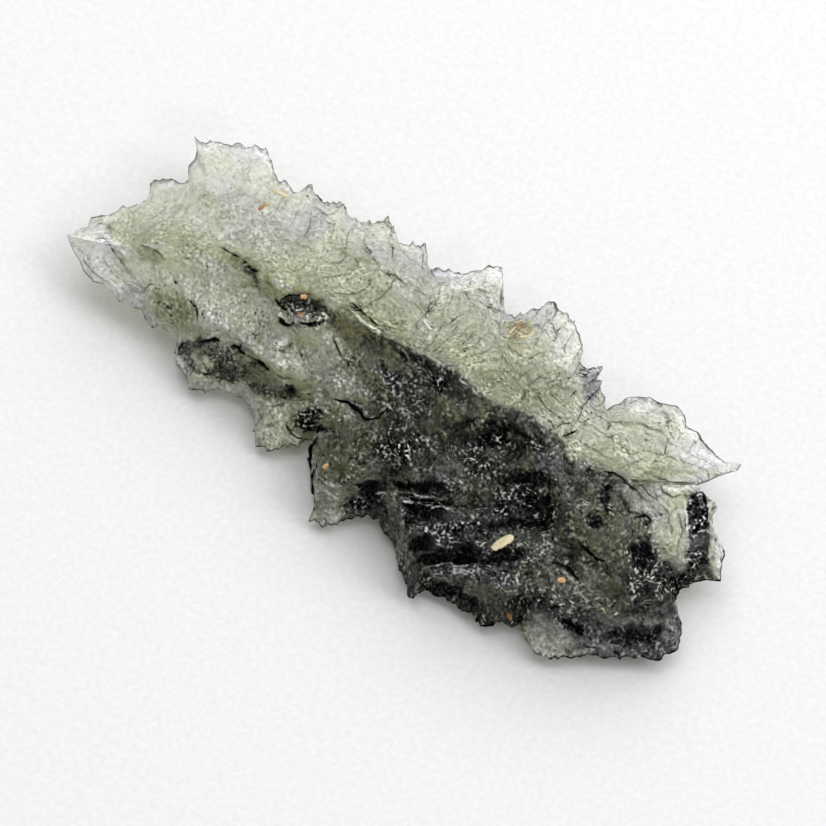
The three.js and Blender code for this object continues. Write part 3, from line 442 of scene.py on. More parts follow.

# Hairlines on the top, as drawn: (strength, path). The dark ones are painted shade along edges,
# the white ones, below 0, painted highlights.
HAIRLINES = [
    (0.8, [-11.06, 6.88, -10.68, 7.12, -10.22, 7.04, -9.87, 6.8]),
    (0.8, [-10.85, 6.4, -10.36, 6.52, -10.08, 6.16, -9.73, 5.52, -9.35, 5.12]),
    (0.7, [-11.34, 6.28, -11.06, 5.52, -10.57, 4.96, -10.08, 4.52]),
    (0.7, [-10.5, 6, -10.29, 5.52, -9.87, 4.96, -9.38, 4.4]),
    (-1, [-10.92, 6.72, -10.5, 6.8, -10.15, 6.56]),
    (0.7, [-7.46, 4.08, -7.18, 3.84, -7.11, 3.44, -7.11, 2.96]),
    (1.2, [-6.9, 2.28, -6.48, 2.4, -6.02, 2.32, -5.67, 2.08, -5.36, 1.68]),
    (1.1, [-4.27, 4, -4.1, 3.72, -3.92, 3.52]),
    (1.2, [-4.27, 3.28, -4.03, 2.96, -3.5, 2.92, -3.05, 3, -2.63, 3.12]),
    (0.9, [-4.48, 2, -4.2, 1.88, -3.85, 1.96]),
    (1, [-4.83, -0.08, -4.9, -0.48, -4.76, -0.88]),
    (0.9, [-4.62, -0.16, -4.34, -0.32, -4.06, -0.16]),
    (0.8, [-4.62, -1.12, -4.34, -0.88, -4.06, -0.68, -3.78, -0.2]),
    (1.1, [-3.99, -0.48, -3.96, -1.04, -3.64, -1.52, -3.08, -1.6]),
    (-1, [-3.92, -0.64, -3.57, -0.56, -3.15, -0.52]),
    (1, [-3.4, 1.92, -3.29, 1.68]),
    (0.8, [-5.25, 2.68, -5.04, 2.52, -4.83, 2.56]),
    (1, [-7.14, 1.12, -6.83, 1.04, -6.51, 1.16]),
    (-0.6, [-0.53, -3.68, 0, -3.64, 0.7, -3.8, 1.75, -4]),
    (-0.5, [0.35, -4, 1.05, -4.16, 1.82, -4.36]),
    (-0.8, [0.88, -6.64, 1.58, -6.44, 2.28, -6.52, 2.87, -6.8]),
    (-0.7, [0.98, -6.96, 1.75, -6.76, 2.45, -6.88]),
    (1, [6.13, -5.64, 6.41, -5.96, 6.72, -6.24, 7, -6.32]),
    (1, [8.4, -2.6, 8.75, -3, 9.28, -3.2, 9.8, -3.28, 10.29, -3.36]),
    (0.9, [7.42, -2.96, 7.88, -3.24, 8.29, -3.68, 8.68, -4.12, 9.1, -4.6]),
    (0.7, [7.98, -3.04, 8.54, -3.52, 8.96, -4]),
    (0.7, [8.93, -3.28, 9.07, -3.56, 9.35, -3.76, 9.94, -3.84]),
    (0.6, [8.93, -4, 9.24, -4.48, 9.38, -5.2, 9.24, -5.92]),
    (0.6, [9.38, -3.92, 9.66, -4.48, 9.73, -5.2, 9.52, -6]),
    (-1, [8.19, -3.92, 8.61, -4.28, 8.93, -4.84]),
    (-1, [9.17, -3.44, 9.63, -3.56, 10.15, -3.6]),
    (-0.8, [9.8, -4, 9.94, -4.6, 9.91, -5.28]),
    (1.2, [10.4, -3.68, 10.54, -4.2, 10.54, -4.88]),
    (0.8, [10.78, -4.48, 10.71, -5.2, 10.92, -5.8, 11.06, -6.4]),
    (0.6, [7.98, -4.6, 8.4, -4.48, 8.75, -4.8, 8.96, -5.28]),
    (0.8, [-5.36, 1.76, -4.97, 1.52, -4.55, 1.12, -4.03, 0.92, -3.47, 0.96]),
    (0.9, [-2.21, 6.2, -1.93, 5.88, -1.68, 5.68, -1.47, 5.36, -1.19, 4.72]),
    (0.9, [-1.68, 5.68, -0.98, 5.44, -0.53, 5.12, 0, 4.8, 0.35, 4.48, 1.05, 4.12]),
    (0.6, [-1.47, 6.48, -0.98, 5.56]),
    (0.6, [4.73, 3, 5.08, 2.76, 5.25, 2.48]),
    (0.6, [5.6, 3.12, 5.81, 2.8, 6.16, 2.68]),
    (0.9, [0.95, 3.4, 0.95, 3.64, 1.09, 3.88, 1.3, 3.72]),
    (0.9, [2.17, 4.36, 2.63, 4.36, 2.87, 4.44, 3.4, 4.64]),
    (0.9, [2.98, 3.84, 3.15, 3.6, 3.5, 3.52, 3.78, 3.4]),
    (0.9, [3.22, 3.2, 3.5, 2.88, 3.43, 2.48]),
    (0.9, [5.43, 4, 5.46, 3.6, 5.29, 3.2, 5.36, 2.8, 5.6, 2.2]),
    (0.9, [3.5, 5.36, 3.57, 4.4, 3.54, 3.6]),
    (0.9, [3.78, 3, 3.99, 3.2, 4.2, 3.28]),
    (0.9, [3.92, 2.68, 4.2, 3]),
    (0.9, [4.1, 2.2, 4.34, 2.36, 4.55, 2.4]),
    (1.3, [5.6, -1.48, 5.88, -1.32, 6.2, -1.2]),
    (1.3, [9.1, -2.32, 9.14, -1.88, 9.28, -1.48]),
    (0.8, [5.11, -1.24, 5.6, -0.96, 6.13, -0.84, 6.37, -0.96]),
    (0.8, [6.34, -1.2, 6.44, -0.88, 6.58, -0.76]),
    (0.8, [7.11, -1.4, 7.18, -1.08, 7.32, -0.96]),
    (0.8, [8.4, -2.48, 8.68, -2.8, 9.1, -3.12, 9.52, -3.28, 10.36, -3.32]),
    (0.8, [7, -2.8, 7.42, -2.88, 7.7, -3.08, 8.05, -3.4, 8.4, -3.88]),
    (0.8, [11.52, -2.88, 11.41, -3.2]),
    (0.8, [-10.36, 7.24, -10.22, 6.96, -10.08, 6.72]),
    (0.8, [-9, 3.88, -9.07, 4.24, -8.89, 4.56, -8.72, 4.76]),
    # Along the crest's painted shadow.
    (0.8, [-6.34, 6.28, -5.88, 5.88, -5.36, 5.4, -4.83, 4.96]),
    (0.8, [6.13, -5.8, 6.48, -6.04, 6.86, -6.28]),
    (0.8, [-4.83, -0.52, -4.9, -0.96]),
    (0.8, [-4.45, -1.12, -4.17, -0.8]),
    (0.8, [-3.15, -4.8, -2.87, -4.96, -2.63, -5.12]),
    (0.8, [-2.63, -4.6, -2.28, -5.08]),
    (0.5, [10.33, -1.6, 10.5, -1.88, 10.85, -2.2]),
    (0.5, [10.15, -2.72, 9.91, -3]),
    (0.5, [-9.07, 4.16, -8.89, 3.6, -8.68, 3.12]),
    (0.5, [-10.5, 6.4, -10.08, 6.16, -9.73, 5.84, -9.56, 5.28, -9.35, 4.8]),
    (0.5, [-4.62, 2.08, -4.38, 1.88, -3.85, 1.84]),
    (0.5, [-9.28, 6.28, -8.75, 6.12, -8.33, 5.84, -8.19, 5.52]),
    (0.5, [8.4, -4, 8.75, -4.48, 9.1, -5]),
    (1.2, [-4.2, 3.28, -3.99, 2.92, -3.5, 2.96, -2.8, 2.92, -2.59, 3.2]),
    (1.2, [-4.1, 4, -3.78, 4.16, -2.94, 4.24]),
    (1.2, [-4.34, 2.32, -4.1, 2.08, -3.78, 2.12]),
    (1.2, [-2.35, 2.6, -2.17, 2, -2, 1.52, -1.86, 1]),
    (1.2, [-2.73, -0.12, -2.17, 0, -1.75, -0.16, -1.47, -0.48, -1.19, -0.8, -0.77, -0.76,
     -0.42, -0.32]),
    (1.2, [-2.87, -1.48, -3.08, -2, -3.12, -2.8, -3.01, -3.6, -2.98, -4.32]),
    (0.7, [5.08, -6.4, 5.6, -6.52, 5.95, -6.88, 6.23, -7.4]),
    (1.2, [-1.75, 3.8, -1.23, 3.4, -0.7, 2.84]),
    # A painted highlight along the crest.
    (-1, [-1.72, 3.56, -1.4, 3.24, -0.98, 2.88, -0.56, 2.44]),
    (-1, [0.18, -3.72, 0.7, -3.76, 1.4, -3.92]),
    (-1, [-1.47, -0.24, -1.19, -0.48]),
    (-1, [-0.49, -0.16, -0.28, -0.48, -0.14, -0.72]),
    (-0.8, [-0.88, -3.68, -0.18, -3.76]),
    (-0.8, [-2.63, -3.48, -2.35, -3.68, -2.1, -4]),
    (-0.4, [5.46, -6.6, 5.95, -7.2, 6.37, -7.88]),
    (-0.8, [3.96, -6.8, 4.06, -7.2, 3.96, -7.52]),
    (-0.8, [0, -4.08, 0.53, -4.12]),
    (-0.8, [7.14, -8.48, 7.42, -8.24]),
    (-0.8, [1.93, 0.88, 2.28, 0.56, 2.8, 0.08]),
]


# ---- Curves and patterns worked out as whole arrays ----


def smooth(values: Array, x: Array) -> Array:
    """A smooth curve through equally spaced values.

    Catmull-Rom: with a, b, c, d the values around x and t the way from b to c,
    f = (2b + (c - a)t + (2a - 5b + 4c - d)t^2 + (3b - a - 3c + d)t^3) / 2.

    Args:
        values: The values, along the first axis.
        x: Where to read the curve, counted in values.

    Returns:
        The curve there, shaped like x and then like one value.
    """
    values = np.asarray(values, float)
    last = len(values) - 1
    i = np.clip(np.floor(x).astype(int), 0, last - 1)
    t = np.clip(x - i, 0.0, 1.0).reshape(np.shape(x) + (1,) * (values.ndim - 1))
    a, b, c, d = (values[np.clip(i + k, 0, last)] for k in (-1, 0, 1, 2))
    cubic = 3 * b - a - 3 * c + d
    return 0.5 * (2 * b + (c - a) * t + (2 * a - 5 * b + 4 * c - d) * t**2 + cubic * t**3)


def index_at(stops: Array, t: Array) -> Array:
    """The place of t among unequal stops, counted in stops."""
    return np.interp(t, stops, np.arange(len(stops)))


def across(stops: Array, by_section: Array, place: Array, t: Array) -> Array:
    """A height that is given for each section and each stop.

    h(place, t) = C(C(by_section, place), index(t)), with C the smooth curve.

    Args:
        stops: The stops between crest and rim.
        by_section: The heights, one row for each section.
        place: The places along the piece.
        t: The shares of the way from crest to rim.

    Returns:
        The heights, one row for each place.
    """
    rows = smooth(by_section, place)
    return smooth(rows.T, index_at(stops, t)).T


def ramp(value: Array, start: float, length: float, least: float = 0.0) -> Array:
    """clip((value - start) / length, least, 1)."""
    return np.clip((value - start) / length, least, 1)


def unit(vectors: Array) -> Array:
    """Vectors along the last axis, each divided by its length."""
    return vectors / np.maximum(np.linalg.norm(vectors, axis=-1, keepdims=True), TINY)


def towards(azimuth: float, elevation: float) -> Array:
    """The direction (sin a cos e, -cos a cos e, sin e) for angles in radians, 0 at the front."""
    flat = math.cos(elevation)
    return np.array([math.sin(azimuth) * flat, -math.cos(azimuth) * flat, math.sin(elevation)])


def scatter(i: Array, j: Array, k: Array, seed: int) -> Array:
    """Numbers from 0 to 1 that look random, from whole numbers.

    The numbers' products with STIR are added, and the sum's high digits stir its low ones twice.
    """
    with np.errstate(over="ignore"):
        i, j, k = (np.asarray(v).astype(np.int64).astype(np.uint32) for v in (i, j, k))
        by_i, by_j, by_k, by_seed = (np.uint32(number) for number in STIR)
        h = i * by_i + j * by_j + k * by_k + np.uint32((seed * STIR[3]) % 2**32)
        h = (h ^ (h >> np.uint32(13))) * by_seed
        h = (h ^ (h >> np.uint32(15))) * by_j
        h = h ^ (h >> np.uint32(16))
    return h.astype(float) / 2.0**32


def clouds(points: Array, seed: int) -> Array:
    """Smooth noise from -1 to 1: scattered numbers on the whole points, eased between them.

    With f the place in its unit cell and e = f^2 (3 - 2f), the eight corners' numbers are mixed
    by e along each axis.
    """
    cell = np.floor(points)
    ease = (points - cell) ** 2 * (3 - 2 * (points - cell))
    total = np.zeros(points.shape[:-1])
    for di in (0, 1):
        for dj in (0, 1):
            for dk in (0, 1):
                weight = np.ones(total.shape)
                for axis, d in enumerate((di, dj, dk)):
                    weight *= ease[..., axis] if d else 1 - ease[..., axis]
                corner = [cell[..., axis] + d for axis, d in enumerate((di, dj, dk))]
                total += weight * scatter(*corner, seed)
    return 2 * total - 1


def pit_distance(points: Array, seed: int) -> Array:
    """The square of the distance to the nearest pit centre, one of them in each unit cell."""
    cell = np.floor(points)
    nearest = np.full(points.shape[:-1], np.inf)
    for di in (-1, 0, 1):
        for dj in (-1, 0, 1):
            for dk in (-1, 0, 1):
                i, j, k = cell[..., 0] + di, cell[..., 1] + dj, cell[..., 2] + dk
                dx = i + scatter(i, j, k, seed) - points[..., 0]
                dy = j + scatter(i, j, k, seed + 1) - points[..., 1]
                dz = k + scatter(i, j, k, seed + 2) - points[..., 2]
                nearest = np.minimum(nearest, dx * dx + dy * dy + dz * dz)
    return nearest


def ridges(length: Array, width: float, seed: int) -> Array:
    """A row of round troughs with sharp edges between them, from 0 at their bottoms to 1."""
    place = length / width
    cell = np.floor(place)
    nearest = np.full(place.shape, np.inf)
    for k in (-1, 0, 1):
        centre = cell + k + scatter(cell + k, 0 * cell, 0 * cell, seed)
        nearest = np.minimum(nearest, np.abs(centre - place))
    return np.minimum(4 * nearest**2, 1)


def seams(length: Array, width: float, seed: int) -> Array:
    """How far places lie from the nearest sharp edge of ridges(), below 0 on its one side."""
    place = length / width
    cell = np.floor(place)
    centres = [cell + k + scatter(cell + k, 0 * cell, 0 * cell, seed) for k in (-2, -1, 0, 1, 2)]
    nearest = np.full(place.shape, np.inf)
    for before, after in zip(centres[:-1], centres[1:]):
        off = place - (before + after) / 2
        nearest = np.where(np.abs(off) < np.abs(nearest), off, nearest)
    return nearest * width


def near_path(path: list, x: Array, y: Array) -> tuple[Array, Array, Array]:
    """How points lie to a drawn path.

    Args:
        path: The path's corners, as x, y, x, y and so on.
        x: The points' x.
        y: The points' y.

    Returns:
        The distance to the path, the side (1 is left), and what is left of the mark there, which
        is 1 - m^4 with m from -1 to 1 along the path.
    """
    corners = np.reshape(path, (-1, 2))
    off = np.full(x.shape, np.inf)
    side = np.zeros(x.shape)
    left = np.zeros(x.shape)
    for i in range(len(corners) - 1):
        (ax, ay), (bx, by) = corners[i], corners[i + 1] - corners[i]
        t = np.clip(((x - ax) * bx + (y - ay) * by) / (bx * bx + by * by), 0, 1)
        dx, dy = x - ax - t * bx, y - ay - t * by
        here = np.hypot(dx, dy)
        nearer = here < off
        off = np.where(nearer, here, off)
        side = np.where(nearer, np.sign(bx * dy - by * dx), side)
        middle = 2 * (i + t) / (len(corners) - 1) - 1
        left = np.where(nearer, 1 - middle**4, left)
    return off, side, left


def closed_skin(name: str, rings: Array, first: Array, last: Array) -> bpy.types.Object:
    """A closed mesh from rings of points and a point at each end.

    Args:
        name: The piece's name.
        rings: The points in metres, as rings x points x 3, each ring counter-clockwise as seen
            from before the first one.
        first: The point that closes the first ring.
        last: The point that closes the last ring.

    Returns:
        The new object, at the origin.
    """
    count, around = rings.shape[:2]
    points = np.vstack([first, rings.reshape(-1, 3), last])
    at = 1 + np.arange(count)[:, None] * around + np.arange(around)[None, :]
    after = np.roll(at, -1, axis=1)
    quads = np.stack([at[:-1], at[1:], after[1:], after[:-1]], -1).reshape(-1, 4)
    start = np.stack([np.zeros(around, int), at[0], after[0]], -1)
    end = np.stack([after[-1], at[-1], np.full(around, len(points) - 1)], -1)
    faces = [*quads.tolist(), *start.tolist(), *end.tolist()]
    mesh = bpy.data.meshes.new(name)
    mesh.from_pydata(points, [], faces)
    mesh.polygons.foreach_set("use_smooth", np.ones(len(faces), bool))
    mesh.validate()
    made = bpy.data.objects.new(name, mesh)
    bpy.context.scene.collection.objects.link(made)
    return made


# ---- Shader maths ----


class Value:
    """A shader socket that takes part in Python arithmetic."""

    def __init__(self, tree: Tree, socket: bpy.types.NodeSocket) -> None:
        """Wraps a socket of a tree."""
        self.tree = tree
        self.socket = socket

    def maths(self, operation: str, *inputs: Value | float) -> Value:
        """Adds a Math node with the given inputs and returns its result."""
        sockets = dict(enumerate(inputs))
        return self.tree.add("ShaderNodeMath", {"operation": operation}, sockets)

    def __add__(self, other: Value | float) -> Value:
        """self + other."""
        return self.maths("ADD", self, other)

    __radd__ = __add__

    def __mul__(self, other: Value | float) -> Value:
        """self * other."""
        return self.maths("MULTIPLY", self, other)

    __rmul__ = __mul__

    def __sub__(self, other: Value | float) -> Value:
        """self - other."""
        return self.maths("SUBTRACT", self, other)

    def __rsub__(self, other: float) -> Value:
        """other - self."""
        return self.maths("SUBTRACT", other, self)

    def __truediv__(self, other: Value | float) -> Value:
        """self / other."""
        return self.maths("DIVIDE", self, other)

    def size(self) -> Value:
        """self without its sign."""
        return self.maths("ABSOLUTE", self)

    def clipped(self) -> Value:
        """self, held between 0 and 1."""
        return self.tree.add("ShaderNodeClamp", None, {"Value": self, "Min": 0.0, "Max": 1.0})


Link = Value | float | tuple


class Tree:
    """The nodes of one new material."""

    def __init__(self, name: str) -> None:
        """Makes an empty material."""
        self.material = bpy.data.materials.new(name)
        self.material.use_nodes = True
        self.material.node_tree.nodes.clear()

    def add(
        self,
        kind: str,
        settings: dict | None = None,
        sockets: dict[str | int, Link] | None = None,
        out: int | str = 0,
    ) -> Value:
        """Adds a node.

        Args:
            kind: The node's type.
            settings: Its settings, which are set first.
            sockets: The values or links of its sockets, by name or number.
            out: The output to return.

        Returns:
            The chosen output.
        """
        made = self.material.node_tree.nodes.new(kind)
        for key, value in (settings or {}).items():
            setattr(made, key, value)
        for key, value in (sockets or {}).items():
            if isinstance(value, Value):
                self.material.node_tree.links.new(value.socket, made.inputs[key])
            else:
                made.inputs[key].default_value = value
        return Value(self, made.outputs[out] if made.outputs else None)

    def place(self) -> Value:
        """The point's place on its object."""
        return self.add("ShaderNodeTexCoord", out="Object")

    def attribute(self, name: str) -> Value:
        """A number stored on the mesh."""
        return self.add("ShaderNodeAttribute", {"attribute_name": name}, out="Fac")

    def noise(self, where: Value, size: float, detail: float = 3.0, rough: float = 0.55) -> Value:
        """Noise from 0 to 1 with lumps of a size in metres."""
        sockets = {"Vector": where, "Scale": 1 / size, "Detail": detail, "Roughness": rough}
        return self.add("ShaderNodeTexNoise", None, sockets)

    def mix(self, share: Value, a: Link, b: Link) -> Value:
        """The colours a and b mixed: a where share is 0, b where it is 1."""
        return self.add("ShaderNodeMix", {"data_type": "RGBA"}, {0: share, 6: a, 7: b}, 2)

    def bump(self, height: Value, metres: float) -> Value:
        """A normal for heights that are given in units of so many metres."""
        sockets = {"Strength": 1.0, "Distance": metres, "Height": height}
        return self.add("ShaderNodeBump", None, sockets, "Normal")

    def finish(self, surface: Value, volume: Value | None = None) -> bpy.types.Material:
        """Connects the material's output and returns the material."""
        sockets = {"Surface": surface}
        if volume is not None:
            sockets["Volume"] = volume
        self.add("ShaderNodeOutputMaterial", None, sockets)
        return self.material


# ---- The stone ----


class Side(Enum):
    """The two sides of the crest."""

    NEAR = "near"
    FAR = "far"


class Seed(IntEnum):
    """What tells one random pattern of the stone from another."""

    FLUTES = 31
    SEAMS_ALONG = 41
    SEAMS_RIMWARD = 43
    NEAR_JAGS = 61
    FAR_JAGS = 62
    DRIFT_X = 91
    DRIFT_Y = 95
    MOTTLE = 101
    SEAM_BEND = 121


class Lobes:
    """One outline of the stone: a row of lobes between notches."""

    def __init__(self, lobes: list) -> None:
        """Takes the lobes, drawn as NEAR_LOBES is."""
        self.points = []
        self.shares = []
        self.lengths = []
        start = CREST[0]
        for lobe in lobes:
            points = np.vstack([start, np.reshape(lobe, (-1, 2))])
            run = np.concatenate([[0], np.cumsum(np.hypot(*np.diff(points, axis=0).T))])
            self.points.append(points)
            self.shares.append(run / run[-1])
            self.lengths.append(run[-1])
            start = points[-1]

    def at(self, place: Array) -> Array:
        """The outline's points at places along the piece."""
        flat = np.ravel(place)
        bays = np.clip(np.ceil(flat).astype(int) - 1, 0, len(self.points) - 1)
        found = np.zeros((len(flat), 2))
        for bay in range(len(self.points)):
            here = bays == bay
            share = np.clip(flat[here] - bay, 0, 1)
            for k in (0, 1):
                found[here, k] = np.interp(share, self.shares[bay], self.points[bay][:, k])
        return found.reshape(np.shape(place) + (2,))

    def blurred(self, place: Array, reach: float) -> Array:
        """The mean of the outline within reach to both sides of each place."""
        last = len(self.points)
        reach = np.minimum(np.minimum(reach, place), last - place)
        return sum(self.at(place + k * reach) for k in (-1, -0.5, 0, 0.5, 1)) / 5

    def run(self, place: Array) -> Array:
        """The length of the outline from its start to each place."""
        bays = np.clip(np.ceil(place).astype(int) - 1, 0, len(self.points) - 1)
        before = np.concatenate([[0], np.cumsum(self.lengths)])
        return before[bays] + (place - bays) * np.array(self.lengths)[bays]

    def spread(self, bay: int, count: int) -> Array:
        """The shares of a lobe that count rings meet: evenly spread, but never cutting a corner."""
        corners = self.shares[bay][1:]
        rings = []
        for i, corner in enumerate(corners):
            low = rings[-1] + 1 if rings else 1
            rings.append(int(np.clip(round(corner * count), low, count - (len(corners) - 1 - i))))
        return np.interp(np.arange(1, count + 1), [0, *rings], [0.0, *corners])


@dataclass(frozen=True)
class PitLayer:
    """A pattern of round dishes that meet in sharp rims.

    Attributes:
        size: The dishes' usual distance, in mm.
        depth: Their depth, in mm.
        seed: What tells one layer from another.
        calm: The share of the depth that is left where the surface is calm.
    """

    size: float
    depth: float
    seed: int
    calm: float = 1.0


@dataclass(frozen=True)
class Patches:
    """A strength that comes and goes over the surface in clouds.

    Attributes:
        size: The clouds' size, in mm.
        seed: What tells one pattern from another.
        middle: The strength where the clouds are 0.
        swing: How far it swings to both sides of that.
        limits: What it is held between.
    """

    size: float
    seed: int
    middle: float
    swing: float
    limits: tuple[float, float] = (0.0, 1.0)

    def at(self, points: Array) -> Array:
        """clip(middle + swing clouds(points / size), limits)."""
        strength = self.middle + self.swing * clouds(points / self.size, self.seed)
        return np.clip(strength, *self.limits)


# The steepness of pit dishes, the power of a crease's sides, and the swings of flutes for each
# millimetre of y and of x, in radians.
DISH = 1.5
CREASE_POWER = 1.5
FLUTE_WAVES = (3.0, 2.1)

# Where the calm plateau at the thin tip ends, and how calm the far wing is.
PLATEAU_EDGE = 1.4
PLATEAU_LEAN = 0.33
PLATEAU_BEND = 1.3
PLATEAU_DEPTH = 2.0
PLATEAU_BLUR = 0.35
WING_CALM = 0.8

# What grows along x, from crest to rim, or with the gloom: (start, length, least).
FLAKY_FROM = (-4.5, 3.0)
SEAMS_FULL = (-5.0, 3.0, 0.2)
SEAMS_FROM = (0.0, 1 / 3)
STRANDS_FROM = (-5.0, 5.0, 0.08)
EDGE_GLOOM_FROM = (2 / 3, 1 / 3)

# What comes and goes over the surface.
RIM_GAPS = Patches(0.9, 122, 0.55, 0.9)
SEAM_GAPS = (Patches(0.9, 122, 0.2, 1.0, (0.0, 0.7)), Patches(0.9, 122, 0.3, -1.0, (0.0, 0.7)))
HAIR_GAPS = Patches(0.4, 152, 0.8, 1.6)
STROKE_GAPS = Patches(0.25, 151, 0.75, 1.6)
PIT_GAPS = Patches(0.5, 131, 0.6, 1.2)
MILK_PATCHES = Patches(0.7, 132, 1.0, 0.5, (0.0, 2.0))
HUE_PATCHES = Patches(0.8, 133, 0.0, 0.7, (-1.0, 1.0))
RIM_MARKS = (
    (Look.CLEAR, Patches(1.0, 142, 0.1, 2.0, (0.0, 0.7))),
    (Look.HAZE, Patches(1.0, 142, 0.1, -2.0, (0.0, 0.7))),
)

# How the wing's look changes towards the crest, where it is painted darker, a painted shade, less
# milky and greener; how sharp-edged zones are, the changes left on bright glass and those of the
# hue on the far side, and what the underside keeps.
WING_ROOT = (0.22, 0.0, -0.05, 0.8)
ZONE_POWER = 6
BRIGHT_CHANGE = 0.5
FAR_HUE = 0.5
GLOOM_BELOW = 0.4
BELOW = 0.3


@dataclass
class Coat:
    """The look of every point.

    Attributes:
        looks: Gloom, pitting, milkiness and hue, along the last axis.
    """

    looks: Array

    def lay(self, look: Look, weight: Array) -> None:
        """Moves every point's look towards the given one by a weight."""
        self.looks += weight[..., None] * (np.array(look.value) - self.looks)


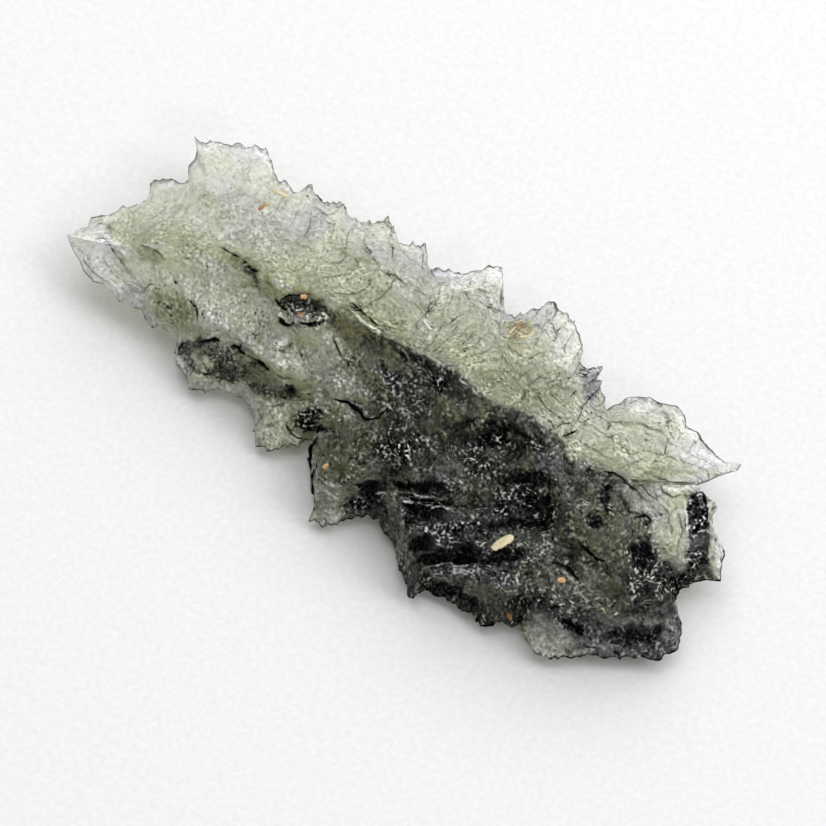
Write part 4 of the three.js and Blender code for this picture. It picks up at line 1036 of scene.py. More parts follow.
@dataclass
class Stone:
    """The moldavite itself.

    Attributes:
        sweep: How many sections further on a barb ends than it springs from the crest.
        sweep_end: The sweep fades out over this many sections at both ends.
        blur: Near the crest the barbs aim at an outline averaged this far to each side.
        overlap: The rise of each far lobe towards the notch where it overlaps the next, in mm.
        overlap_bend: The power of that rise, and the share of it below the wing's level.
        swell: The swelling of each near lobe between its notches, in mm.
        swell_bend: The power of the swelling, and the share of it below the side's level.
        ring_step: The width of the faces along the rims, in mm.
        near_rows: Faces from the crest to the near rim, on top.
        far_rows: Faces from the crest to the far rim, on top.
        under_rows: Faces from below the crest to the near rim and to the far rim.
        pits: The pit layers, the two coarse ones as in the CAD part.
        pit_stretch: How much longer than wide pits are, along the crest.
        pit_level: The share of a dish's depth that lies below the unpitted surface.
        fine_pits: Dishes smaller than this, in mm, darken the glass where they are deep: painted
            shade.
        full_depth_at: Glass thinner than this has shallower pits, in mm.
        deepest_cut: No cut goes deeper than this share of the glass.
        deepest_below: What is left of that share on the underside.
        steep_relief: The relief's share on upright walls, its gain as they lean, and its least.
        evening: How often the directions of the cuts are averaged with their neighbours'.
        flutes: Widths and depths of the far side's flutes, in mm.
        flute_level: The share of a flute's depth that lies below the unfluted surface.
        flute_wobble: How far flutes swing to and fro, as a share of their width.
        tip_flutes: The share of their depth that flutes keep at the thin tip.
        ground_wear: How much the belly's lowest lumps are worn flat, in mm.
        keel: The share of the far side that the thick wedge below the crest takes.
        jags: Widths and depths of the torn edge, in mm.
        jag_bend: How far jags wander along the edge, as a share of their width.
        jag_bend_size: The size of that wandering, in mm.
        jag_travel: How far the wandering's pattern is read from rim to crest, in mm.
        jag_power: Jags fade with this power of the way from crest to rim.
        wander: Sizes and lengths of the wandering of what is drawn on the top, in mm.
        fine_wander: The share of the wandering that strokes and hairlines keep.
        seam_bend: The size of what bends the seams, in mm, and how far it bends those that run
            rimwards, in mm, and those along the rim, in rows.
        seam_rows: The rows of flakes from crest to rim.
        seam_width: The width of the flakes along the rim, in mm.
        hair_reach: How far from its path a hairline is drawn, in mm.
        hair_fade: How far to both sides a hairline fades, in mm.
        line_limit: The distance to a fine line is held between this and its opposite, in mm.
        mottle: Sizes and changes of the gloom's clouds, in mm and as shares.
        pit_gloom: How much gloom, a painted shade, a millimetre of fine pit adds.
        rim_band: The distance and the width of the band of marks along the rims, in mm.
        edge_gloom: What dark glass gains in gloom, a painted shade, at the rim, and how far in, in
            mm.
        most_gloom: The gloom is held below this.
        near: The near outline.
        far: The far outline.
        places: Each ring's place among the sections.
        ends: 0 for rings at the ends, and 1 where the sweep is full.
        points: The skin's points, in mm, as rings x points x 3.
        thick: The glass's thickness there, in mm.
        reach: The share of the way from the crest to the rim.
        is_far: 1 on the far side, else 0.
        is_top: 1 on the top, else 0.
        rim: The distance from the rim, in mm.
        barb_length: The length from rim to crest, in mm.
        far_run: How far along the far outline each ring ends, in mm.
        run: How far along its own outline each point's ring ends, in mm.
        centre: The middle of the turned outlines' box, in mm.
        drift: How far what is drawn wanders, along x and y, in mm.
        fine_relief: How far the fine pits alone make the surface stand out, in mm, for their
            painted shade.
        calm: How calm the surface is.
        gloom: How dark it is painted: painted shade.
        pitted: How pitted it is, which the material shows as painted glints and painted shade.
        milk: How milky it is.
        hue: Its hue, from violet grey to brown.
        strands: How striated it is.
        line: The distance to the nearest fine line, in mm, with a sign.
        drawn: How strongly that line is drawn: painted shade above 0, a painted highlight below 0.
    """

    sweep: float = 0.9
    sweep_end: float = 2.0
    blur: float = 0.4
    overlap: float = 0.32
    overlap_bend: tuple[float, float] = (1.5, 0.4)
    swell: float = 0.25
    swell_bend: tuple[float, float] = (0.6, 0.6)
    ring_step: float = 0.105
    near_rows: int = 92
    far_rows: int = 70
    under_rows: tuple[int, int] = (18, 12)
    pits: tuple[PitLayer, ...] = (
        PitLayer(2.2, 0.8, 11),
        PitLayer(1.1, 0.4, 23),
        PitLayer(0.55, 0.24, 31, 0.4),
        PitLayer(0.3, 0.13, 47, 0.35),
    )
    pit_stretch: float = 1.3
    pit_level: float = 0.6
    fine_pits: float = 1.0
    full_depth_at: float = 1.6
    deepest_cut: float = 0.45
    deepest_below: float = 0.6
    steep_relief: tuple[float, float, float] = (0.2, 1.3, 0.3)
    evening: int = 12
    flutes: tuple[tuple[float, float], ...] = ((1.25, 0.2), (0.5, 0.13), (0.23, 0.05))
    flute_level: float = 0.4
    flute_wobble: float = 0.25
    tip_flutes: float = 0.4
    ground_wear: float = 0.12
    keel: float = 0.08
    jags: tuple[tuple[float, float], ...] = ((0.9, 0.16), (0.35, 0.1), (0.17, 0.05))
    jag_bend: float = 1.2
    jag_bend_size: float = 0.8
    jag_travel: float = 12.0
    jag_power: int = 8
    wander: tuple[tuple[float, float], ...] = ((0.9, 0.2), (0.35, 0.15), (0.18, 0.08))
    fine_wander: float = 0.45
    seam_bend: tuple[float, float, float] = (1.3, 0.5, 1.1)
    seam_rows: float = 6.0
    seam_width: float = 0.8
    hair_reach: float = 0.25
    hair_fade: float = 0.2
    line_limit: float = 0.4
    mottle: tuple[tuple[float, float], ...] = ((1.2, 0.12), (0.5, 0.12), (0.22, 0.1))
    pit_gloom: float = 0.6
    rim_band: tuple[float, float] = (0.25, 0.22)
    edge_gloom: tuple[float, float] = (0.22, 1.0)
    most_gloom: float = 1.3
    near: Lobes = field(default_factory=lambda: Lobes(NEAR_LOBES))
    far: Lobes = field(default_factory=lambda: Lobes(FAR_LOBES))
    places: Array = field(init=False)
    ends: Array = field(init=False)
    points: Array = field(init=False)
    thick: Array = field(init=False)
    reach: Array = field(init=False)
    is_far: Array = field(init=False)
    is_top: Array = field(init=False)
    rim: Array = field(init=False)
    barb_length: Array = field(init=False)
    far_run: Array = field(init=False)
    run: Array = field(init=False)
    centre: Array = field(init=False)
    drift: list[Array] = field(init=False)
    fine_relief: Array = field(init=False)
    calm: Array = field(init=False)
    gloom: Array = field(init=False)
    pitted: Array = field(init=False)
    milk: Array = field(init=False)
    hue: Array = field(init=False)
    strands: Array = field(init=False)
    line: Array = field(init=False)
    drawn: Array = field(init=False)

    def ring_places(self) -> tuple[Array, Array, Array]:
        """Every ring's place, and the places where it meets the near and the far outline."""
        places, near, far = [], [], []
        for bay in range(len(CREST) - 1):
            longest = max(self.near.lengths[bay], self.far.lengths[bay])
            count = math.ceil(longest / self.ring_step)
            places.append(bay + np.arange(1, count + 1) / count)
            near.append(bay + self.near.spread(bay, count))
            far.append(bay + self.far.spread(bay, count))
        return tuple(np.concatenate(group)[:-1] for group in (places, near, far))

    def rows(self, stops: Array, count: int) -> Array:
        """Shares of the way from crest to rim, more of them where the stops are close."""
        return np.interp(np.linspace(0, len(stops) - 1, count + 1), np.arange(len(stops)), stops)

    def jagged(self, side: Side, run: Array, t: Array) -> Array:
        """How far the torn edge pushes each point outwards.

        Every layer of jags adds depth (ridges - 1/2), read at a run that clouds shift, and their
        sum fades with t^jag_power.

        Args:
            side: The side of the crest.
            run: How far along that side's outline each ring ends, in mm.
            t: The shares of the way from crest to rim.

        Returns:
            The push, in mm, as rings x rows.
        """
        first = Seed.NEAR_JAGS if side is Side.NEAR else Seed.FAR_JAGS
        inward = (1 - t)[None, :] * self.jag_travel
        spots = np.stack(np.broadcast_arrays(run, inward, 0 * run), -1) / self.jag_bend_size
        push = 0.0
        for n, (width, depth) in enumerate(self.jags):
            seed = first + 10 * n
            bent = run + self.jag_bend * width * clouds(spots, seed)
            push = push + depth * (ridges(bent, width, seed) - 0.5)
        return push * self.ends[:, None] * t[None, :] ** self.jag_power

    def barbs(self, side: Side, meets: Array, t: Array) -> Array:
        """The plan positions of the points on the barbs.

        P(t) = crest(place - sweep (1 - t)^2) (1 - t) + aim(t) t, with aim(t) = blurred outline
        (1 - t^2) + outline t^2, and then the torn edge's push along the barb.

        Args:
            side: The side of the crest.
            meets: Where each ring meets that side's outline.
            t: The shares of the way from crest to rim.

        Returns:
            The positions as rings x rows x 2, on the ground.
        """
        lobes, heights = (
            (self.near, NEAR_HEIGHTS) if side is Side.NEAR else (self.far, FAR_HEIGHTS)
        )
        rim = smooth(heights[:, -1], self.places)
        height = smooth(NEAR_HEIGHTS[:, 0], self.places)
        springs = self.places[:, None] - self.sweep * self.ends[:, None] * (1 - t) ** 2
        crest = smooth(CREST, springs)
        crest[..., 1] -= height[:, None] * LEAN
        blurred = lobes.blurred(self.places, self.blur)[:, None]
        sharp = lobes.at(meets)[:, None]
        share = (t**2)[None, :, None]
        aim = blurred * (1 - share) + sharp * share
        aim[..., 1] -= rim[:, None] * LEAN
        root = smooth(CREST, self.places)
        root[:, 1] -= height * LEAN
        tip = sharp[:, 0] - np.stack([0 * rim, rim * LEAN], -1) - root
        along = unit(tip)
        push = self.jagged(side, lobes.run(meets)[:, None], t)
        spot = crest * (1 - t)[None, :, None] + aim * t[None, :, None]
        return spot + along[:, None] * push[..., None]

    def near_side(self, meets: Array, t: Array) -> tuple[Array, Array, Array]:
        """The near side's plan positions, top heights and underside heights.

        With s the way through its lobe, a place swells by swell (sin(pi s)^power - level).
        """
        share = np.clip(self.places - np.ceil(self.places) + 1, 0, 1)
        power, level = self.swell_bend
        swell = self.swell * (np.sin(np.pi * share) ** power - level) * self.ends
        top = across(NEAR_STOPS, NEAR_HEIGHTS, self.places, t)
        top = top + swell[:, None] * np.sin(np.pi * t)
        under = np.hstack([UNDER_HEIGHTS, NEAR_HEIGHTS[:, -1:]])
        bottom = np.maximum(across(NEAR_STOPS, under, self.places, t), 0)
        return self.barbs(Side.NEAR, meets, t), top, bottom - self.ground_wear * (1 - t)

    def far_side(self, meets: Array, t: Array) -> tuple[Array, Array, Array]:
        """The far side's plan positions, top heights and underside heights.

        With s the way through its lobe, a place rises by overlap (s^power - level) t^2.
        """
        share = np.clip(self.places - np.ceil(self.places) + 1, 0, 1)
        power, level = self.overlap_bend
        overlap = self.overlap * (share**power - level) * self.ends
        heights = np.hstack([NEAR_HEIGHTS[:, :1], FAR_HEIGHTS])
        top = across(FAR_STOPS, heights, self.places, t) + overlap[:, None] * t**2
        wing = smooth(WING, self.places)[:, None] * smooth(WING_SHARES, index_at(FAR_STOPS, t))
        keel = np.clip(1 - t / self.keel, 0, 1)
        belly = smooth(UNDER_HEIGHTS[:, 0], self.places)[:, None] - self.ground_wear
        bottom = (top - wing) * (1 - keel) + belly * keel
        return self.barbs(Side.FAR, meets, t), top, bottom

    def skin(self) -> None:
        """Lays out the rings, and notes what is said of each point above.

        Every ring is near top (rim to crest), far top (crest to rim), far underside (rim to
        crest) and near underside (crest to rim).
        """
        self.places, near_meets, far_meets = self.ring_places()
        last = len(CREST) - 1
        self.ends = np.clip(np.minimum(self.places, last - self.places) / self.sweep_end, 0, 1)
        near_t = self.rows(NEAR_STOPS, self.near_rows)[::-1]
        far_t = self.rows(FAR_STOPS, self.far_rows)[1:]
        far_under_t = self.rows(FAR_STOPS, self.under_rows[1])[1:-1][::-1]
        near_under_t = self.rows(NEAR_STOPS, self.under_rows[0])[:-1]
        parts = []
        for t, side, is_top in (
            (near_t, Side.NEAR, True),
            (far_t, Side.FAR, True),
            (far_under_t, Side.FAR, False),
            (near_under_t, Side.NEAR, False),
        ):
            if side is Side.NEAR:
                spot, top, bottom = self.near_side(near_meets, t)
            else:
                spot, top, bottom = self.far_side(far_meets, t)
            z = top if is_top else bottom
            parts.append({
                "points": np.concatenate([spot, z[..., None]], -1),
                "thick": top - bottom,
                "reach": np.broadcast_to(t, z.shape),
                "is_far": np.full(z.shape, side is Side.FAR, float),
                "is_top": np.full(z.shape, is_top, float),
            })
        rims = parts[0]["points"][:, :1], parts[1]["points"][:, -1:]
        crest = parts[0]["points"][:, -1:]
        for part, rim in zip(parts, (rims[0], rims[1], rims[1], rims[0])):
            part["rim"] = np.linalg.norm(part["points"] - rim, axis=-1)
            length = np.linalg.norm(rim - crest, axis=-1)
            part["barb_length"] = np.broadcast_to(length, part["rim"].shape)
        for key in parts[0]:
            setattr(self, key, np.concatenate([part[key] for part in parts], 1))
        self.far_run = self.far.run(far_meets)[:, None]
        near_run = self.near.run(near_meets)[:, None]
        self.run = np.where(self.is_far > 0, self.far_run, near_run + 0 * self.is_far)

    def outward(self, points: Array) -> Array:
        """The outward direction at each point of the rings, from its four neighbours."""
        around = np.roll(points, -1, 1) - np.roll(points, 1, 1)
        padded = np.concatenate([points[:1], points, points[-1:]])
        along = padded[2:] - padded[:-2]
        return unit(np.cross(along, around))

    def evened(self, directions: Array) -> Array:
        """Directions averaged with their neighbours', as often as evening says."""
        for _ in range(self.evening):
            padded = np.concatenate([directions[:1], directions, directions[-1:]])
            directions = 2 * directions + padded[2:] + padded[:-2]
            around = np.roll(directions, 1, 1) + np.roll(directions, -1, 1)
            directions = unit(directions + around)
        return directions

    def pit_relief(self, points: Array) -> Array:
        """How far the pits make the surface stand out.

        Each layer adds depth (min(1.5 d^2, 1) - level), with d the distance to the nearest pit
        centre in pit sizes, so that dishes are round and their rims sharp. What the fine layers
        add is kept as fine_relief, which paints shade in their hollows.

        Args:
            points: The surface's points, in mm.

        Returns:
            The relief, in mm.
        """
        along = points[..., 0] * math.cos(LIE) - points[..., 1] * math.sin(LIE)
        across_it = points[..., 0] * math.sin(LIE) + points[..., 1] * math.cos(LIE)
        turned = np.stack([along / self.pit_stretch, across_it, points[..., 2]], -1)
        total = np.zeros(self.calm.shape)
        self.fine_relief = np.zeros(self.calm.shape)
        for layer in self.pits:
            dish = np.minimum(DISH * pit_distance(turned / layer.size, layer.seed), 1)
            depth = layer.depth * (1 + (layer.calm - 1) * self.calm)
            relief = depth * (dish - self.pit_level)
            total += relief
            if layer.size < self.fine_pits:
                self.fine_relief += relief
        return total

    def mark_relief(self, x: Array, y: Array) -> Array:
        """How far ledges, creases and hollows raise the top at drawn points.

        A ledge adds rise/2 sign tanh(off/sharpness) exp(-off/reach), a crease adds
        rise (1 - off/width)^1.5, and a hollow rise (1 - (off/radius)^2).
        """
        total = np.zeros(x.shape)
        for path, rise, reach in LEDGES:
            off, side, left = near_path(path, x, y)
            step = np.tanh(off / LEDGE_SHARPNESS) * np.exp(-off / reach)
            total += 0.5 * rise * left * side * step
        for path, rise, width in CREASES:
            off, _, left = near_path(path, x, y)
            total += rise * left * np.maximum(1 - off / width, 0) ** CREASE_POWER
        for (ax, ay), radius, rise in HOLLOWS:
            total += rise * np.maximum(1 - ((x - ax) ** 2 + (y - ay) ** 2) / radius**2, 0)
        return total

    def flute_relief(self, x: Array, y: Array) -> Array:
        """How far the far side's flutes make it stand out, deepest at the rim."""
        total = np.zeros(x.shape)
        for n, (width, depth) in enumerate(self.flutes):
            wobble = self.flute_wobble * width * np.sin(FLUTE_WAVES[0] * y + FLUTE_WAVES[1] * x + n)
            flute = ridges(self.far_run + wobble, width, Seed.FLUTES + n)
            total += depth * (flute - self.flute_level)
        total *= self.tip_flutes + (1 - self.tip_flutes) * ramp(x, *FLAKY_FROM)
        return total * self.reach * self.is_far

    def drifting(self, seed: int) -> Array:
        """How far drawn places wander over the surface: clouds of a few sizes, added up."""
        layers = enumerate(self.wander)
        return sum(length * clouds(self.points / size, seed + n) for n, (size, length) in layers)

    def calmness(self, x: Array, y: Array) -> Array:
        """Where the surface is calm and milky: the far wing, and the plateau at the thin tip.

        The plateau lies where x + lean y + bend clip(-y, 0, depth) is below -edge, and ends as
        1 / (1 + exp(off / blur)) does.
        """
        low = np.clip(-y, 0, PLATEAU_DEPTH)
        off = x - self.drift[0] + PLATEAU_EDGE + PLATEAU_LEAN * y + PLATEAU_BEND * low
        plateau = 1 / (1 + np.exp(off / PLATEAU_BLUR))
        wing = WING_CALM * self.is_far
        return np.clip(wing + (1 - wing) * plateau, 0, 1)

    def mostly_top(self, below: float) -> Array:
        """1 on the top, and the given number on the underside."""
        return below + (1 - below) * self.is_top

    def hairlines(self, x: Array, y: Array) -> None:
        """Works out the fine lines: how far each point is from the nearest one, and its strength.

        They are the rims, HAIRLINES, and the seams between the wing's flakes: dark lines of painted
        shade, with the white HAIRLINES as painted highlights. The distance has a sign, the side of
        the line, so that it can be read exactly between the points.

        Args:
            x: The points' drawn x.
            y: The points' drawn y.
        """
        size, by_length, by_rows = self.seam_bend
        bend = clouds(self.points / size, Seed.SEAM_BEND)
        # Dark lines along the rims: painted shade.
        self.line = self.rim.copy()
        self.drawn = RIM_GAPS.at(self.points)
        # Dark lines on the seams between the wing's flakes: painted shade.
        along = seams(self.far_run + by_length * bend, self.seam_width, Seed.SEAMS_ALONG)
        rimward = seams(self.seam_rows * self.reach + by_rows * bend, 1.0, Seed.SEAMS_RIMWARD)
        rimward = rimward * self.barb_length / self.seam_rows
        for seam, gaps in zip((along, rimward), SEAM_GAPS):
            nearer = (np.abs(seam) < np.abs(self.line)) & (self.is_far > 0)
            self.line = np.where(nearer, seam, self.line)
            shown = gaps.at(self.points) * ramp(self.reach, *SEAMS_FROM)
            shown = shown * ramp(x, *SEAMS_FULL)
            self.drawn = np.where(nearer, shown, self.drawn)
        ragged = HAIR_GAPS.at(self.points)
        for strength, path in HAIRLINES:
            off, side, left = near_path(path, x, y)
            nearer = off < np.minimum(np.abs(self.line), self.hair_reach)
            self.line = np.where(nearer, side * off, self.line)
            self.drawn = np.where(nearer, strength * left * ragged, self.drawn)
        self.drawn = self.drawn * np.exp(-((self.line / self.hair_fade) ** 2))
        self.drawn = self.drawn * self.mostly_top(BELOW)
        self.line = np.clip(self.line, -self.line_limit, self.line_limit)

    def base_coat(self, x: Array) -> Coat:
        """The looks that the far wing, the plateau and the rest start from."""
        plateau = (self.calm * (1 - self.is_far))[..., None]
        far = self.is_far[..., None]
        flaky = ramp(x, *FLAKY_FROM)[..., None]
        bases = (Look.WING, Look.FLAKES, Look.PLATEAU, Look.DARK)
        wing, flakes, flat, dark = (np.array(look.value) for look in bases)
        # Towards the crest the wing is painted darker, a painted shade, and greener.
        inner = (1 - self.reach)[..., None] ** 2 * np.array(WING_ROOT)
        looks = far * (wing + flaky * (flakes - wing) + inner)
        # Beyond the wing and the plateau, the near side starts from the dark look: painted shade.
        return Coat(looks + plateau * flat + (1 - far - plateau) * dark)

    def paint(self) -> None:
        """Works out the gloom, pitting, milkiness and hue of every point; the gloom is painted
        shade.

        A zone moves the look towards its own by strength exp(-r^6), with r the distance from its
        middle in half lengths and half widths, a stroke by strength exp(-(off/width)^2), and the
        marks along the rims by exp(-((off - band)/width)^2).
        """
        x = self.points[..., 0]
        y = self.points[..., 1] + self.points[..., 2] * LEAN
        coat = self.base_coat(x)
        wide_x, wide_y = x + self.drift[0], y + self.drift[1]
        for look, (ax, ay), length, width, turn, strength in ZONES:
            c, d = math.cos(math.radians(turn)), math.sin(math.radians(turn))
            u = ((wide_x - ax) * c + (wide_y - ay) * d) / length
            v = ((wide_y - ay) * c - (wide_x - ax) * d) / width
            coat.lay(look, strength * np.exp(-np.hypot(u, v) ** ZONE_POWER))
        fine_x = x + self.fine_wander * self.drift[0]
        fine_y = y + self.fine_wander * self.drift[1]
        ragged = STROKE_GAPS.at(self.points)
        for look, width, strength, path in STROKES:
            off, _, left = near_path(path, fine_x, fine_y)
            coat.lay(look, strength * left * np.exp(-((off / width) ** 2)) * ragged)
        # Pale and hazy bands along the rims; the haze's gloom is painted shade.
        middle, width = self.rim_band
        band = np.exp(-(((self.rim - middle) / width) ** 2))
        band = band * (self.is_far + self.calm * (1 - self.is_far))
        for look, gaps in RIM_MARKS:
            coat.lay(look, band * gaps.at(self.points))
        self.hairlines(fine_x, fine_y)
        self.dapple(x, *np.moveaxis(coat.looks, -1, 0))

    def dapple(self, x: Array, gloom: Array, pitted: Array, milk: Array, hue: Array) -> None:
        """Lets the painted looks come and go, and weakens them on the underside.

        Clouds and the fine pits' depth add to the gloom, the painted shade, most of all where it is
        dark already; the pits' depth paints shade in their hollows. Dark glass is painted darker
        near its rim, a painted shade.

        Args:
            x: The points' drawn x.
            gloom: How dark each point is painted, as painted shade.
            pitted: How pitted it is, for the painted glints and painted shade in the pits.
            milk: How milky it is.
            hue: Its hue.
        """
        # The fine pits' depth darkens their hollows: painted shade.
        change = -self.pit_gloom * self.fine_relief
        for n, (width, depth) in enumerate(self.mottle):
            change += depth * clouds(self.points / width, Seed.MOTTLE + n)
        rugged = BRIGHT_CHANGE + (1 - BRIGHT_CHANGE) * ramp(gloom, 0.0, 0.5)
        # Dark glass is darker near the rim: painted shade.
        most, width = self.edge_gloom
        close = np.exp(-((self.rim / width) ** 2)) * ramp(gloom, *EDGE_GLOOM_FROM)
        gloom = np.clip(gloom + rugged * change + most * close, 0, self.most_gloom)
        self.gloom = gloom * self.mostly_top(GLOOM_BELOW)
        self.pitted = pitted * PIT_GAPS.at(self.points) * self.mostly_top(BELOW)
        self.milk = milk * MILK_PATCHES.at(self.points) * self.mostly_top(BELOW)
        self.hue = hue + HUE_PATCHES.at(self.points) * (1 - FAR_HUE * self.is_far)
        self.strands = self.calm * ramp(x, *STRANDS_FROM)

    def carve(self) -> None:
        """Moves every point along the surface's outward direction by its relief."""
        points = self.points
        x, y, z = (points[..., k] for k in range(3))
        drawn_y = y + z * LEAN
        self.drift = [self.drifting(seed) for seed in (Seed.DRIFT_X, Seed.DRIFT_Y)]
        self.calm = self.calmness(x, drawn_y)
        deep = ramp(self.thick, 0.0, self.full_depth_at)
        own = (self.pit_relief(points) + self.flute_relief(x, y)) * deep
        marks = self.mark_relief(x, drawn_y) * self.is_top * deep
        deepest = self.deepest_cut * self.thick
        relief = np.clip(own + marks, -deepest * self.mostly_top(self.deepest_below), deepest)
        outward = self.outward(points)
        upright, gain, least = self.steep_relief
        relief = relief * np.clip(upright + gain * np.abs(outward[..., 2]), least, 1)
        self.points = points + self.evened(outward) * relief[..., None]
        self.points[..., 2] = np.maximum(self.points[..., 2], 0)
        self.paint()

    def into_frame(self, drawn: Array) -> Array:
        """Turns drawn plan points in mm into the CAD frame, in metres."""
        turned = drawn.copy()
        turned[..., 0] = drawn[..., 0] * math.cos(LIE) - drawn[..., 1] * math.sin(LIE)
        turned[..., 1] = drawn[..., 0] * math.sin(LIE) + drawn[..., 1] * math.cos(LIE)
        turned[..., :2] -= self.centre
        return turned * MM

    def find_centre(self) -> None:
        """Finds the middle of the outlines' box, which the CAD part has over its origin."""
        self.centre = np.zeros(2)
        rims = []
        for lobes, heights in ((self.near, NEAR_HEIGHTS), (self.far, FAR_HEIGHTS)):
            place = np.concatenate([i + s for i, s in enumerate(lobes.shares)])
            rim = lobes.at(place)
            rim[:, 1] -= smooth(heights[:, -1], place) * LEAN
            rims.append(self.into_frame(rim) / MM)
        rims = np.vstack(rims)
        self.centre = (rims.min(0) + rims.max(0)) / 2

    def build(self) -> bpy.types.Object:
        """Makes the stone's mesh.

        Returns:
            The stone, in the CAD frame, with its masks as attributes of its points.
        """
        self.skin()
        self.carve()
        self.find_centre()
        ends = []
        for section in (0, -1):
            height = NEAR_HEIGHTS[section, 0]
            x, y = CREST[section]
            ends.append(self.into_frame(np.array([x, y - height * LEAN, height])))
        made = closed_skin("moldavite_stone", self.into_frame(self.points), *ends)
        for key in MASKS:
            values = getattr(self, key).ravel()
            values = np.concatenate([values[:1], values, values[-1:]])
            attribute = made.data.attributes.new(key, "FLOAT", "POINT")
            attribute.data.foreach_set("value", values.astype(np.float32))
        return made

    def seat(self, drawn: tuple[float, float]) -> tuple[Array, Array]:
        """The top's point nearest to a drawn place, and the outward direction there."""
        points = self.points
        off = np.hypot(points[..., 0] - drawn[0], points[..., 1] + points[..., 2] * LEAN - drawn[1])
        off = np.where(self.is_top > 0, off, np.inf)
        i, j = np.unravel_index(np.argmin(off), off.shape)
        normal = self.outward(points)[i, j]
        turned = self.into_frame(normal) / MM
        turned[:2] += self.centre
        return self.into_frame(points[i, j]), turned


@dataclass(frozen=True)
class Ramp:
    """A mask that is 0 at first and then grows to 1.

    Attributes:
        start: Where it begins to grow.
        gain: How fast it grows. Below 0, it shrinks to 0 at the start instead.
    """

    start: float
    gain: float

    def of(self, value: Value) -> Value:
        """clip((value - start) gain, 0, 1)."""
        return ((value - self.start) * self.gain).clipped()


